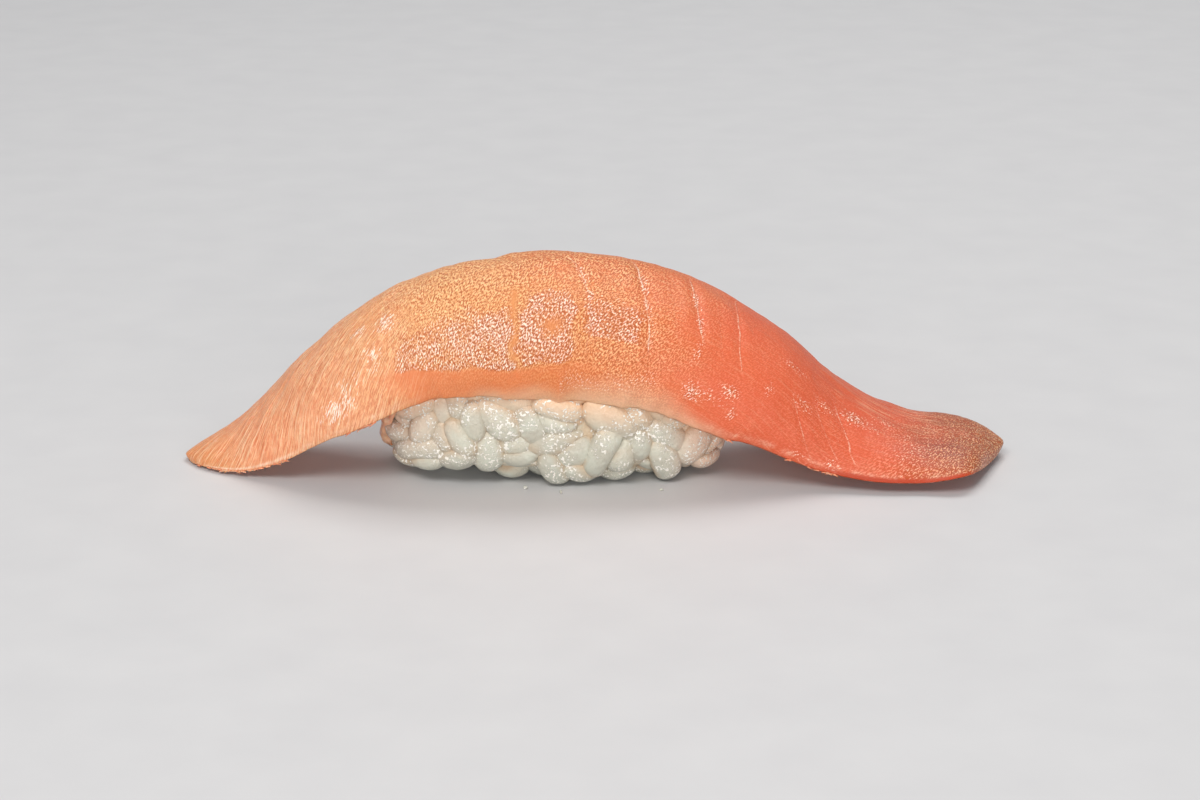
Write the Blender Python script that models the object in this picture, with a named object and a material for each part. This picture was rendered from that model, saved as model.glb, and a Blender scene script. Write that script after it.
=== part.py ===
"""Tuna nigiri: a long draped slice of pale tuna pressed onto an oval pad of rice.

The frame: +Z up, +X along the slice, -Y towards the side where the slice hangs lower.
The origin is the middle of the rice pad's flat base, which rests on the table.
Lengths below are in millimetres; MM turns them into Blender's metres where a mesh is made.
"""

from collections import namedtuple
from math import pi

import bmesh
import bpy
import numpy as np
from mathutils import Vector
from mathutils.bvhtree import BVHTree

MM = 0.001

# ---------------------------------------------------------------- driving sizes
PAD_LENGTH = 50.4          # the rice pad, end to end
PAD_WIDTH = 23.0           # and across
PAD_WAIST_HEIGHT = 10.0    # height of its widest ring
PAD_TOP_HEIGHT = 27.0      # where an unpressed pad would crown
PAD_SQUARENESS = 2.6       # 2 is an ellipsoid, higher is boxier
PAD_BASE_DEPTH = 14.5      # how far under the widest ring the rounding would end, past the flat base
GRAIN_PITCH = 4.6          # spacing of the grains that make its outline uneven
GRAIN_RELIEF = 0.9         # how far a grain stands out of the pad
PRESS_CLEARANCE = 0.3      # between the rice and the slice that lies on it
PRESS_STEP = 0.1           # how far the rice gives at a time until it is clear of the slice
PRESS_LINE = 0.7           # the rice gives towards a middle line, this share of the pad's length
TABLE_CLEARANCE = 0.1      # between the slice's hanging tails and the table

# One cross-section of the slice. x, y and z place the top of its crest; near and far are the
# reaches of its under face from the crest to either long edge; the drops are the angles that
# the under face has turned down by at those edges; thickness is the sheet's at the crest.
Section = namedtuple("Section", "x y z near far near_drop far_drop thickness")
SLICE_SECTIONS = [
    Section(-53.4, 2.2, 1.0, 3.2, 3.2, 7, 5, 1.0),
    Section(-47.0, 2.1, 4.9, 8.7, 7.5, 34, 20, 1.8),
    Section(-36.0, 2.0, 15.7, 15.1, 12.0, 46, 40, 3.2),
    Section(-21.0, 0.8, 26.9, 16.8, 14.0, 61, 60, 4.6),
    Section(1.0, 1.7, 30.7, 19.4, 14.5, 70, 66, 5.2),
    Section(19.0, 2.4, 26.9, 19.1, 14.0, 61, 60, 5.0),
    Section(33.0, 2.5, 18.6, 17.8, 13.5, 54, 42, 4.6),
    Section(42.0, 2.4, 10.6, 15.2, 12.5, 32, 25, 4.0),
    Section(51.0, 2.4, 6.0, 15.5, 11.0, 9, 2, 3.0),
    Section(60.0, 2.7, 4.8, 13.5, 8.0, 1, 0, 2.4),
    Section(65.2, 3.9, 2.2, 3.6, 4.2, 9, 0, 1.6),
]
SHOULDER = 0.74            # share of the near reach over which the near side bends
TIP_SHARPNESS = 50         # how late the two tips round off, along the slice
TIP_CUT = 0.0008           # share of the length left off at each tip, so that it has some width
EDGE_FULLNESS = 5.0        # how late the sheet thins towards its long edges
EDGE_WEDGE = 0.9           # 0.5 ends it in a round edge, 1 in a wedge

# ---------------------------------------------------------------- mesh densities
SLICE_ROWS = 62
SLICE_COLUMNS = 19         # across each of the two faces of the sheet
COLUMN_CROWDING = 0.8      # 1 crowds them most towards the long edges, lower spreads them
BEND_STEPS = 160           # steps used to add up the under face's bend across a section
PAD_RINGS = 54
PAD_SEGMENTS = 44          # round each ring


# ---------------------------------------------------------------- shared curves
def smooth_through(knots, values, at):
    """A smooth curve through the given values: cubic pieces that share their slopes."""
    step = np.diff(knots)
    chord = np.diff(values) / step
    slope = np.concatenate([[chord[0]], np.zeros(len(knots) - 2), [chord[-1]]])
    slope[1:-1] = (chord[:-1] * step[1:] + chord[1:] * step[:-1]) / (step[:-1] + step[1:])
    i = np.clip(np.searchsorted(knots, at) - 1, 0, len(knots) - 2)
    t = (at - knots[i]) / step[i]
    ease = t * t * (3 - 2 * t)
    return (
        values[i] * (1 - ease)
        + values[i + 1] * ease
        + step[i] * (slope[i] * t * (1 - t) ** 2 - slope[i + 1] * t * t * (1 - t))
    )


def signed_power(value, power):
    return np.sign(value) * np.abs(value) ** power


# ---------------------------------------------------------------- the slice
def sections_along(share):
    """Each named value of the section at a share, 0 to 1, of the crest's own length."""
    table = np.array(SLICE_SECTIONS, float)
    travelled = np.hypot(np.diff(table[:, 0]), np.diff(table[:, 2]))
    knots = np.concatenate([[0], np.cumsum(travelled)]) / travelled.sum()
    row = Section(*(smooth_through(knots, column, share) for column in table.T))
    rounding = np.sqrt(1 - np.abs(2 * share - 1) ** TIP_SHARPNESS)
    return row._replace(near=row.near * rounding, far=row.far * rounding)


def bent_side(reach, turn):
    """Adds up a side of the under face from the crest outwards: (distance out, distance down)."""
    def added_up(slope):
        middle = (slope[:, 1:] + slope[:, :-1]) / 2
        return np.concatenate([np.zeros((len(slope), 1)), np.cumsum(middle, axis=1)], axis=1)

    step = reach[:, None] / (turn.shape[1] - 1)
    return step * added_up(np.cos(turn)), step * added_up(np.sin(turn))


def slice_faces():
    """The top and the under face of the slice, each a grid of points from tail to tail."""
    even = np.linspace(0, 1, SLICE_ROWS)
    crowded = (1 - np.cos(pi * even)) / 2
    share = TIP_CUT + (1 - 2 * TIP_CUT) * (even + crowded) / 2
    row = sections_along(share)
    climb = np.arctan2(np.gradient(row.z, share), np.gradient(row.x, share))

    # From the near edge, -1, over the crest, 0, to the far edge, +1.
    across = signed_power(np.cos(np.linspace(pi, 0, SLICE_COLUMNS)), COLUMN_CROWDING)
    outward = np.linspace(0, 1, BEND_STEPS)
    near_turn = np.radians(row.near_drop)[:, None] * np.minimum(outward / SHOULDER, 1)
    far_turn = np.radians(row.far_drop)[:, None] * outward

    side = np.where(across < 0, -1, 1)
    picked = np.abs(across) * (BEND_STEPS - 1)
    low = np.minimum(picked.astype(int), BEND_STEPS - 2)

    def at_columns(near_values, far_values):
        before = np.where(side < 0, near_values[:, low], far_values[:, low])
        after = np.where(side < 0, near_values[:, low + 1], far_values[:, low + 1])
        return before + (after - before) * (picked - low)

    near_out, near_down = bent_side(row.near, near_turn)
    far_out, far_down = bent_side(row.far, far_turn)
    out = at_columns(near_out, far_out)
    down = at_columns(near_down, far_down)
    turn = at_columns(near_turn, far_turn)
    thickness = row.thickness[:, None] * (1 - np.abs(across) ** EDGE_FULLNESS) ** EDGE_WEDGE

    def face(offset):
        """Offsets the under face along its own normal and stands it up on the crest."""
        y = side * (out + offset * np.sin(turn))
        up = offset * np.cos(turn) - down - row.thickness[:, None]
        return np.stack(
            [
                row.x[:, None] - np.sin(climb)[:, None] * up,
                row.y[:, None] + y,
                row.z[:, None] + np.cos(climb)[:, None] * up,
            ],
            axis=-1,
        )

    return face(thickness), face(0 * thickness)


def make_slice(material):
    """Joins the two faces into one closed sheet; they share both long edges."""
    top, under = slice_faces()
    rows, columns = top.shape[:2]
    loop = np.concatenate([top, under[:, -2:0:-1]], axis=1)
    loop[..., 2] = np.maximum(loop[..., 2], TABLE_CLEARANCE)
    around = loop.shape[1]
    index = np.arange(rows * around).reshape(rows, around)

    after = np.roll(index, -1, axis=1)
    faces = np.stack([index[:-1], index[1:], after[1:], after[:-1]], axis=-1).reshape(-1, 4)
    mesh = bpy.data.meshes.new("tuna_slice")
    ends = flat_end(index[0], columns) + flat_end(index[-1], columns)
    mesh.from_pydata((loop.reshape(-1, 3) * MM).tolist(), [], faces.tolist() + ends)
    return finished_object(mesh, material)


def flat_end(ring, columns):
    """Closes an end with a strip of faces from the ring's upper half to its lower half."""
    upper = ring[:columns].tolist()
    lower = upper[:1] + ring[:columns - 1:-1].tolist() + upper[-1:]
    strip = zip(upper[:-1], upper[1:], lower[1:], lower[:-1])
    return [list(dict.fromkeys(corners)) for corners in strip]


# ---------------------------------------------------------------- the rice pad
def pad_surface():
    """Rings of a boxy ellipsoid about X, with its two end points: (ring points, end points)."""
    length_angle = np.linspace(-pi / 2, pi / 2, PAD_RINGS + 2)[1:-1, None]
    around_angle = np.linspace(0, 2 * pi, PAD_SEGMENTS, endpoint=False)[None, :]
    power = 2 / PAD_SQUARENESS
    ring = signed_power(np.cos(length_angle), power)
    lift = signed_power(np.sin(around_angle), power)
    height = np.where(lift > 0, PAD_TOP_HEIGHT - PAD_WAIST_HEIGHT, PAD_BASE_DEPTH)
    x = PAD_LENGTH / 2 * signed_power(np.sin(length_angle), power)
    points = np.stack(
        np.broadcast_arrays(
            x,
            PAD_WIDTH / 2 * ring * signed_power(np.cos(around_angle), power),
            PAD_WAIST_HEIGHT + height * ring * lift,
        ),
        axis=-1,
    )
    ends = np.array([[side * PAD_LENGTH / 2, 0, PAD_WAIST_HEIGHT] for side in (-1, 1)])
    return points.reshape(-1, 3), ends


def grain_sites(points):
    """Picks well-spaced points of the surface, one for each grain that shows."""
    draw = np.random.default_rng(7)
    order = draw.permutation(len(points))
    chosen = []
    for candidate in points[order]:
        if all(np.linalg.norm(candidate - other) > GRAIN_PITCH for other in chosen):
            chosen.append(candidate)
    return np.array(chosen)


def with_grain_relief(points, centre):
    """Pushes the surface out at each grain and leaves a crease between neighbours."""
    sites = grain_sites(points)
    distance = np.linalg.norm(points[:, None] - sites[None], axis=-1).min(axis=1)
    swell = np.cos(np.clip(distance / GRAIN_PITCH, 0, 1) * pi / 2) - 1
    outward = points - centre
    outward /= np.linalg.norm(outward, axis=1)[:, None]
    return points + outward * GRAIN_RELIEF * swell[:, None]


def pressed_under(points, faces, slice_object):
    """Draws the pad's points in towards its middle line until it lies clear of the slice."""
    slice_tree = BVHTree.FromObject(slice_object, bpy.context.evaluated_depsgraph_get())
    middle = points * [PRESS_LINE, 0, 0] + [0, 0, PAD_WAIST_HEIGHT]
    reach = np.linalg.norm(points - middle, axis=1)
    outward = (points - middle) / reach[:, None]

    for i in range(len(points)):
        hit = slice_tree.ray_cast(Vector(middle[i]) * MM, Vector(outward[i]), reach[i] * MM)
        if hit[0] is not None:
            reach[i] = hit[3] / MM - PRESS_CLEARANCE

    while True:
        swollen = (middle + outward * (reach + PRESS_CLEARANCE)[:, None]) * MM
        crossing = BVHTree.FromPolygons(swollen.tolist(), faces).overlap(slice_tree)
        if not crossing:
            return middle + outward * reach[:, None]
        corners = {corner for face, _ in crossing for corner in faces[face]}
        around = {corner for face in faces if corners.intersection(face) for corner in face}
        for sinking in (corners, around):
            reach[list(sinking)] -= PRESS_STEP / 2


def make_pad(material, slice_object):
    """The rice as one solid out to its uneven outline, cut flat where it stands."""
    rings, ends = pad_surface()
    index = np.arange(PAD_RINGS * PAD_SEGMENTS).reshape(PAD_RINGS, PAD_SEGMENTS)
    after = np.roll(index, -1, axis=1)
    faces = np.stack([index[:-1], after[:-1], after[1:], index[1:]], axis=-1)
    faces = faces.reshape(-1, 4).tolist()
    first_end, last_end = len(rings), len(rings) + 1
    faces += [[first_end, after[0, j], index[0, j]] for j in range(PAD_SEGMENTS)]
    faces += [[last_end, index[-1, j], after[-1, j]] for j in range(PAD_SEGMENTS)]

    points = with_grain_relief(np.concatenate([rings, ends]), np.array([0, 0, PAD_WAIST_HEIGHT]))
    points = pressed_under(points, faces, slice_object)
    mesh = bpy.data.meshes.new("rice_pad")
    mesh.from_pydata((points * MM).tolist(), [], faces)
    return finished_object(mesh, material, flat_base=True)


# ---------------------------------------------------------------- finishing
def finished_object(mesh, material, flat_base=False):
    """Faces outwards, an optional flat base at the table's height, and a smooth finish."""
    work = bmesh.new()
    work.from_mesh(mesh)
    if flat_base:
        geometry = work.verts[:] + work.edges[:] + work.faces[:]
        cut = bmesh.ops.bisect_plane(
            work, geom=geometry, dist=1e-7, plane_co=(0, 0, 0), plane_no=(0, 0, 1), clear_inner=True
        )
        rim = [part for part in cut["geom_cut"] if isinstance(part, bmesh.types.BMEdge)]
        bmesh.ops.contextual_create(work, geom=rim)
    bmesh.ops.recalc_face_normals(work, faces=work.faces)
    work.to_mesh(mesh)
    work.free()
    mesh.shade_smooth()
    mesh.materials.append(material)
    made = bpy.data.objects.new(mesh.name, mesh)
    bpy.context.scene.collection.objects.link(made)
    return made


def make_material(name, colour, roughness):
    material = bpy.data.materials.new(name)
    material.use_nodes = True
    shader = material.node_tree.nodes["Principled BSDF"]
    shader.inputs["Base Color"].default_value = (*colour, 1)
    shader.inputs["Roughness"].default_value = roughness
    shader.inputs["Metallic"].default_value = 0
    return material


def main():
    for old in list(bpy.data.objects):
        bpy.data.objects.remove(old)
    fish = make_material("tuna", (0.86, 0.27, 0.13), 0.35)
    rice = make_material("rice", (0.78, 0.74, 0.64), 0.4)
    slice_object = make_slice(fish)
    bpy.context.view_layer.update()
    make_pad(rice, slice_object)


main()
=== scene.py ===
# %% [markdown]
# # Tuna nigiri
# One long slice of pale tuna, draped over an oval pad of pressed rice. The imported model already
# holds both as plain closed solids at their true sizes. This lesson replaces each with a piece
# that looks like the food: a slice with muscle grain, seams and a wet sparkle, and a pad made
# of real grains. Lengths are written in millimetres, and MM turns them into Blender's metres.

# %% Load the frame
from collections import namedtuple
from math import cos, radians, sin

import bpy
import numpy as np
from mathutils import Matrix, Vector
from mathutils.bvhtree import BVHTree


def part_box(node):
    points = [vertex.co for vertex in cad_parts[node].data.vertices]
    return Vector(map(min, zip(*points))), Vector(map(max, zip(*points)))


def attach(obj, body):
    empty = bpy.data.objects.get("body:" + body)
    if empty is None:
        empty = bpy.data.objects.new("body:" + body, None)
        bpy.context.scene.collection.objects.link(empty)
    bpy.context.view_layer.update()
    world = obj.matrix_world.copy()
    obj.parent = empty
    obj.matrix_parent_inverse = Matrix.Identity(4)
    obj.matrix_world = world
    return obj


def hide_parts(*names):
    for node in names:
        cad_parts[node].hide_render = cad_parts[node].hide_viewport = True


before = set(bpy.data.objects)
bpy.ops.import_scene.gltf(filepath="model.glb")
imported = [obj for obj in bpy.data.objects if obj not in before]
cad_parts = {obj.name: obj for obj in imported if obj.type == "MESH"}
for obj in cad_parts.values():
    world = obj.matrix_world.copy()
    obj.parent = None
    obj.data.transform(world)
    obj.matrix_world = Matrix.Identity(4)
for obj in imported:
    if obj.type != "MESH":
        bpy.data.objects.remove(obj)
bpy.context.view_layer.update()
MM = 0.001
slice_low, slice_high = (np.array(corner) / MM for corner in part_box("tuna_slice"))
pad_low, pad_high = (np.array(corner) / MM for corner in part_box("rice_pad"))
print("slice box, mm:", slice_low.round(1), slice_high.round(1))
print("rice box, mm:", pad_low.round(1), pad_high.round(1))

# %% [markdown]
# ## Camera
# The nigiri is seen from the front and a little above, from so far away that its two tails look
# the same size. A long lens does that: 85 mm at 40 cm. The camera is placed by an angle and a
# distance from a target, which is easier to reason about than three coordinates.

# %% Camera
CAMERA_TARGET = Vector((6.57, 0, 9.64)) * MM
CAMERA_DISTANCE = 405 * MM
CAMERA_HEIGHT_ANGLE = radians(18)
away = Vector((0, -cos(CAMERA_HEIGHT_ANGLE), sin(CAMERA_HEIGHT_ANGLE)))
camera_data = bpy.data.cameras.new("camera")
camera_data.lens = 85
camera_data.clip_start = 0.01


def new_object(name, data):
    """An object in the scene that shows the data."""
    made = bpy.data.objects.new(name, data)
    bpy.context.scene.collection.objects.link(made)
    return made


camera = new_object("camera", camera_data)
camera.location = CAMERA_TARGET + away * CAMERA_DISTANCE
camera.rotation_euler = (-away).to_track_quat("-Z", "Y").to_euler()
bpy.context.scene.camera = camera
print("camera at, mm:", [round(c / MM) for c in camera.location])

# %% [markdown]
# ## Light
# Wet fish shows its finish only where it mirrors something bright. A wide soft lamp above and in
# front lies where the front shoulder of the slice mirrors it, and there the sparkle is also
# painted into the flesh's colour as painted highlights. A low lamp in front lights the rice under
# the slice, and one overhead and behind draws the light rim along the crest. The world fills the
# shadows. The Standard view keeps the food's saturated colours as they are.

# %% Light
Lamp = namedtuple("Lamp", "name azimuth elevation distance width height watts colour")
LAMPS = [
    Lamp("key", -22, 50, 0.95, 0.55, 0.40, 4.4, (1.0, 0.97, 0.94)),
    Lamp("front", 8, 12, 1.10, 0.90, 0.30, 5.2, (1.0, 0.98, 0.96)),
    Lamp("rim", 160, 62, 0.95, 0.60, 0.45, 4.4, (1.0, 0.98, 0.96)),
]


def add_lamp(lamp):
    """Hangs a soft rectangle of light at an angle round the nigiri, facing it. Azimuth 0 is in
    front and grows towards the right-hand side."""
    turn, lift = radians(lamp.azimuth), radians(lamp.elevation)
    out = Vector((sin(turn) * cos(lift), -cos(turn) * cos(lift), sin(lift)))
    data = bpy.data.lights.new(lamp.name, "AREA")
    data.shape = "RECTANGLE"
    data.size = lamp.width
    data.size_y = lamp.height
    data.energy = lamp.watts
    data.color = lamp.colour
    hung = new_object(lamp.name, data)
    hung.location = out * lamp.distance
    hung.rotation_euler = out.to_track_quat("Z", "Y").to_euler()


for lamp in LAMPS:
    add_lamp(lamp)
world = bpy.data.worlds.new("studio")
world.use_nodes = True
world.node_tree.nodes["Background"].inputs["Color"].default_value = (0.93, 0.96, 1.0, 1)
world.node_tree.nodes["Background"].inputs["Strength"].default_value = 0.30
bpy.context.scene.world = world
bpy.context.scene.view_settings.view_transform = "Standard"
print("lamps:", [lamp.name for lamp in LAMPS])

# %% [markdown]
# ## Building materials
# A finish is a small network of nodes, and long to write out one link at a time. So each output
# is wrapped as a Wire, which sums can be done with as with a number: `a * b` and `a + b` each
# lay a Math node. A few more helpers lay the kinds of node that are used again and again.

# %% Wires
class Wire:
    """One output of a node. * and + lay a Math node, and do lays any other sum."""

    def __init__(self, socket):
        self.socket = socket
        self.tree = socket.id_data

    def do(self, operation, *others):
        """Lays a Math node on this wire and up to two other wires or numbers."""
        inputs = {f"i{place}": value for place, value in enumerate((self, *others))}
        return lay(self.tree, "Math", {"operation": operation}, **inputs)

    def __mul__(self, other):
        return self.do("MULTIPLY", other)

    def __add__(self, other):
        return self.do("ADD", other)


def fill(node, **inputs):
    """Fills a node's inputs from wires or plain values. Inputs are named with _ for a space, or
    i0, i1 by place among those in use."""
    in_use = [socket for socket in node.inputs if socket.enabled]
    for name, value in inputs.items():
        by_place = name[0] == "i" and name[1:].isdigit()
        socket = in_use[int(name[1:])] if by_place else node.inputs[name.replace("_", " ")]
        if isinstance(value, Wire):
            value.tree.links.new(value.socket, socket)
        else:
            socket.default_value = value


def lay(tree, kind, settings=(), output=None, **inputs):
    """Adds a node of a kind, and returns the wire from its first output or from a named one."""
    node = tree.nodes.new("ShaderNode" + kind)
    for name, value in dict(settings).items():
        setattr(node, name, value)
    fill(node, **inputs)
    return Wire(node.outputs[output] if output else next(s for s in node.outputs if s.enabled))


print("a wire can be summed with *, + and do, and fill joins it to a node")


# %% Kinds of node used most
def remap(value, low, high, to_low=0.0, to_high=1.0):
    """Maps low..high smoothly on to_low..to_high and holds the ends."""
    settings = {"interpolation_type": "SMOOTHSTEP"}
    return lay(value.tree, "MapRange", settings, i0=value, i1=low, i2=high, i3=to_low, i4=to_high)


def mix(share, first, second, kind="RGBA"):
    """Blends two colours, or two numbers of kind FLOAT, by a share."""
    return lay(share.tree, "Mix", {"data_type": kind}, i0=share, i1=first, i2=second)


def noise(place, scale, detail=2.0, roughness=0.5):
    """Smooth random values round 0.5. Detail adds finer ones, and roughness makes them stronger."""
    return lay(place.tree, "TexNoise", Vector=place, Scale=scale, Detail=detail, Roughness=roughness)


def bump(height, depth):
    """Tilts the light as if the surface stood up by height times depth, in metres."""
    return lay(height.tree, "Bump", Height=height, Distance=depth, Strength=1.0)


def read_map(tree, name):
    """The value stored under that name at each point of the piece."""
    return lay(tree, "Attribute", {"attribute_name": name}, "Fac")


def in_mm(place):
    """A place in metres as one in millimetres."""
    return lay(place.tree, "VectorMath", {"operation": "SCALE"}, i0=place, Scale=1000.0)


def new_finish(name):
    """An empty node material: returns it, its shader, its tree and the place on the piece."""
    made = bpy.data.materials.new(name)
    made.use_nodes = True
    tree = made.node_tree
    return made, tree.nodes["Principled BSDF"], tree, lay(tree, "TexCoord", output="Object")


def srgb(red, green, blue):
    """A colour given as 0 to 255 display values, as the linear values that shaders use."""
    c = np.array([red, green, blue]) / 255
    linear = np.where(c <= 0.04045, c / 12.92, ((c + 0.055) / 1.055) ** 2.4)
    return (*linear.tolist(), 1)


print("middle grey, as a linear value:", round(srgb(128, 128, 128)[0], 3))

# %% [markdown]
# ## The floor
# A plain pale table, far wider than the view. Its very faint mottling only keeps it from looking
# like paper. It isn't part of the nigiri.

# %% Floor
FLOOR_HALF_WIDTH = 3.0
floor_mesh = bpy.data.meshes.new("floor")
floor_corners = [(x * FLOOR_HALF_WIDTH, y * FLOOR_HALF_WIDTH, 0)
                 for x, y in ((-1, -1), (1, -1), (1, 1), (-1, 1))]
floor_mesh.from_pydata(floor_corners, [], [(0, 1, 2, 3)])
floor = new_object("floor", floor_mesh)
floor_finish, shader, _, place = new_finish("pale_table")
floor_colour = mix(noise(place, 90.0, 3.0), (0.60, 0.60, 0.61, 1), (0.66, 0.66, 0.665, 1))
fill(shader, Base_Color=floor_colour, Roughness=0.6)
floor_mesh.materials.append(floor_finish)
print("floor laid")

# %% [markdown]
# ## Shapes from formulas
# Every new surface here is a grid of points worked out with numpy, all at once. These helpers
# give smooth curves through a few measured values, rolling random heights for anything natural,
# and the step from a grid to a mesh.

# %% Curves
def smooth_through(knots, values, at):
    """A smooth curve through the values: cubic pieces that share their slopes at the knots."""
    step = np.diff(knots)
    chord = np.diff(values) / step
    slope = np.concatenate([[chord[0]], np.zeros(len(knots) - 2), [chord[-1]]])
    slope[1:-1] = (chord[:-1] * step[1:] + chord[1:] * step[:-1]) / (step[:-1] + step[1:])
    i = np.clip(np.searchsorted(knots, at) - 1, 0, len(knots) - 2)
    t = (at - knots[i]) / step[i]
    ease = t * t * (3 - 2 * t)
    bend = step[i] * (slope[i] * t * (1 - t) ** 2 - slope[i + 1] * t * t * (1 - t))
    return values[i] * (1 - ease) + values[i + 1] * ease + bend


def ramp(low, high, value):
    """0 below low, 1 above high, and an S-curve between them."""
    t = np.clip((value - low) / (high - low), 0, 1)
    return t * t * (3 - 2 * t)


def fall(low, high, value):
    """1 below low, 0 above high: the ramp of the value turned round."""
    return ramp(-high, -low, -value)


def bump_at(value, middle, width):
    """A bell curve: 1 at the middle, and nearly 0 two widths away."""
    return np.exp(-(((value - middle) / width) ** 2))


def unit(vectors):
    """The same directions with length 1."""
    return vectors / np.linalg.norm(vectors, axis=-1, keepdims=True)


print("a ramp at 0.25 and 0.5:", ramp(0, 1, np.array([0.25, 0.5])))

# %% Rolling heights
NOISE_TABLE = 256          # the random lattice repeats after this many steps


def rolling(a, b, seed):
    """Smooth random heights from -1 to 1 over two coordinates: a random value at each crossing
    of a square lattice, and an S-curve blend between the four nearest crossings."""
    table = np.random.default_rng(seed).uniform(-1, 1, (NOISE_TABLE, NOISE_TABLE))
    a, b = np.broadcast_arrays(a, b)
    whole_a, whole_b = np.floor(a).astype(int), np.floor(b).astype(int)
    ease_a, ease_b = ramp(0, 1, a - whole_a), ramp(0, 1, b - whole_b)

    def crossing(more_a, more_b):
        return table[(whole_a + more_a) % NOISE_TABLE, (whole_b + more_b) % NOISE_TABLE]

    near = crossing(0, 0) * (1 - ease_a) + crossing(1, 0) * ease_a
    far = crossing(0, 1) * (1 - ease_a) + crossing(1, 1) * ease_a
    return near * (1 - ease_b) + far * ease_b


print("a rolling line:", rolling(np.arange(0.25, 2, 0.5), 0.5, 1).round(2))


# %% From points to an object
def add_piece(name, points, faces, finish, point_values=()):
    """Makes a smooth-shaded object at the origin from points in millimetres. point_values are
    (name, values) pairs, stored as one number for each point for its material to read."""
    mesh = bpy.data.meshes.new(name)
    mesh.from_pydata((np.asarray(points).reshape(-1, 3) * MM).tolist(), [], faces)
    mesh.polygons.foreach_set("use_smooth", np.ones(len(mesh.polygons), bool))
    for label, values in point_values:
        stored = mesh.attributes.new(label, "FLOAT", "POINT")
        stored.data.foreach_set("value", np.asarray(values, np.float32).ravel())
    mesh.materials.append(finish)
    print(name, len(mesh.vertices), "points", len(mesh.polygons), "faces")
    return new_object(name, mesh)


print("millimetres are scaled by:", MM)

# %% [markdown]
# ## The slice, a bent sheet
# A sushi slice is a long thin sheet that has settled over the rice: high in the middle, with its
# front side bent further down than its back, and two tails that reach the table. Each row of
# this table is one cross-section: where the top of its crest lies, how far the sheet reaches to
# either edge, how far it has turned down by there, and how thick it is. A loft through those
# rows is the usual way to make such a form; sculpting would lose the true size.

# %% Cross-sections of the slice
Section = namedtuple("Section", "x y z near far near_drop far_drop thickness")
SECTIONS = [
    Section(-53.4, 2.2, 1.0, 3.2, 3.2, 7, 5, 1.0),
    Section(-47.0, 2.1, 4.9, 8.7, 7.5, 34, 20, 1.8),
    Section(-36.0, 2.0, 15.7, 15.1, 12.0, 46, 40, 3.2),
    Section(-21.0, 0.8, 26.9, 16.8, 14.0, 61, 60, 4.6),
    Section(1.0, 1.7, 30.7, 19.4, 14.5, 70, 66, 5.2),
    Section(19.0, 2.4, 26.9, 19.1, 14.0, 61, 60, 5.0),
    Section(33.0, 2.5, 18.6, 17.8, 13.5, 54, 42, 4.6),
    Section(42.0, 2.4, 10.6, 15.2, 12.5, 32, 25, 4.0),
    Section(51.0, 2.4, 6.0, 15.5, 11.0, 9, 2, 3.0),
    Section(60.0, 2.7, 4.8, 13.5, 8.0, 1, 0, 2.4),
    Section(65.2, 3.9, 2.2, 3.6, 4.2, 9, 0, 1.6),
]
print("cross-sections:", len(SECTIONS), "from x", SECTIONS[0].x, "to", SECTIONS[-1].x, "mm")

# %% Any cross-section between them
TIP_SHARPNESS = 50         # how late the two tips round off, along the slice


def sections_at(share):
    """Every value of the cross-section at a share, 0 to 1, of the crest's length."""
    table = np.array(SECTIONS, float)
    travelled = np.hypot(np.diff(table[:, 0]), np.diff(table[:, 2]))
    knots = np.concatenate([[0], np.cumsum(travelled)]) / travelled.sum()
    row = Section(*(smooth_through(knots, column, share) for column in table.T))
    rounding = np.sqrt(1 - np.abs(2 * share - 1) ** TIP_SHARPNESS)
    return row._replace(near=row.near * rounding, far=row.far * rounding)


print("thickest, mm:", sections_at(np.linspace(0, 1, 99)).thickness.max().round(2))

# %% Bend the sheet
SHOULDER = 0.74            # share of the front reach over which the front side bends
EDGE_FULLNESS = 5.0        # how late the sheet thins towards its long edges
EDGE_WEDGE = 0.9           # 0.5 ends it in a round edge, 1 in a wedge
BEND_STEPS = 240


def added_up(rate):
    """The running total of a rate along each row, by the trapezium rule."""
    middle = (rate[:, 1:] + rate[:, :-1]) / 2
    return np.concatenate([np.zeros((len(rate), 1)), np.cumsum(middle, axis=1)], axis=1)


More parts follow.
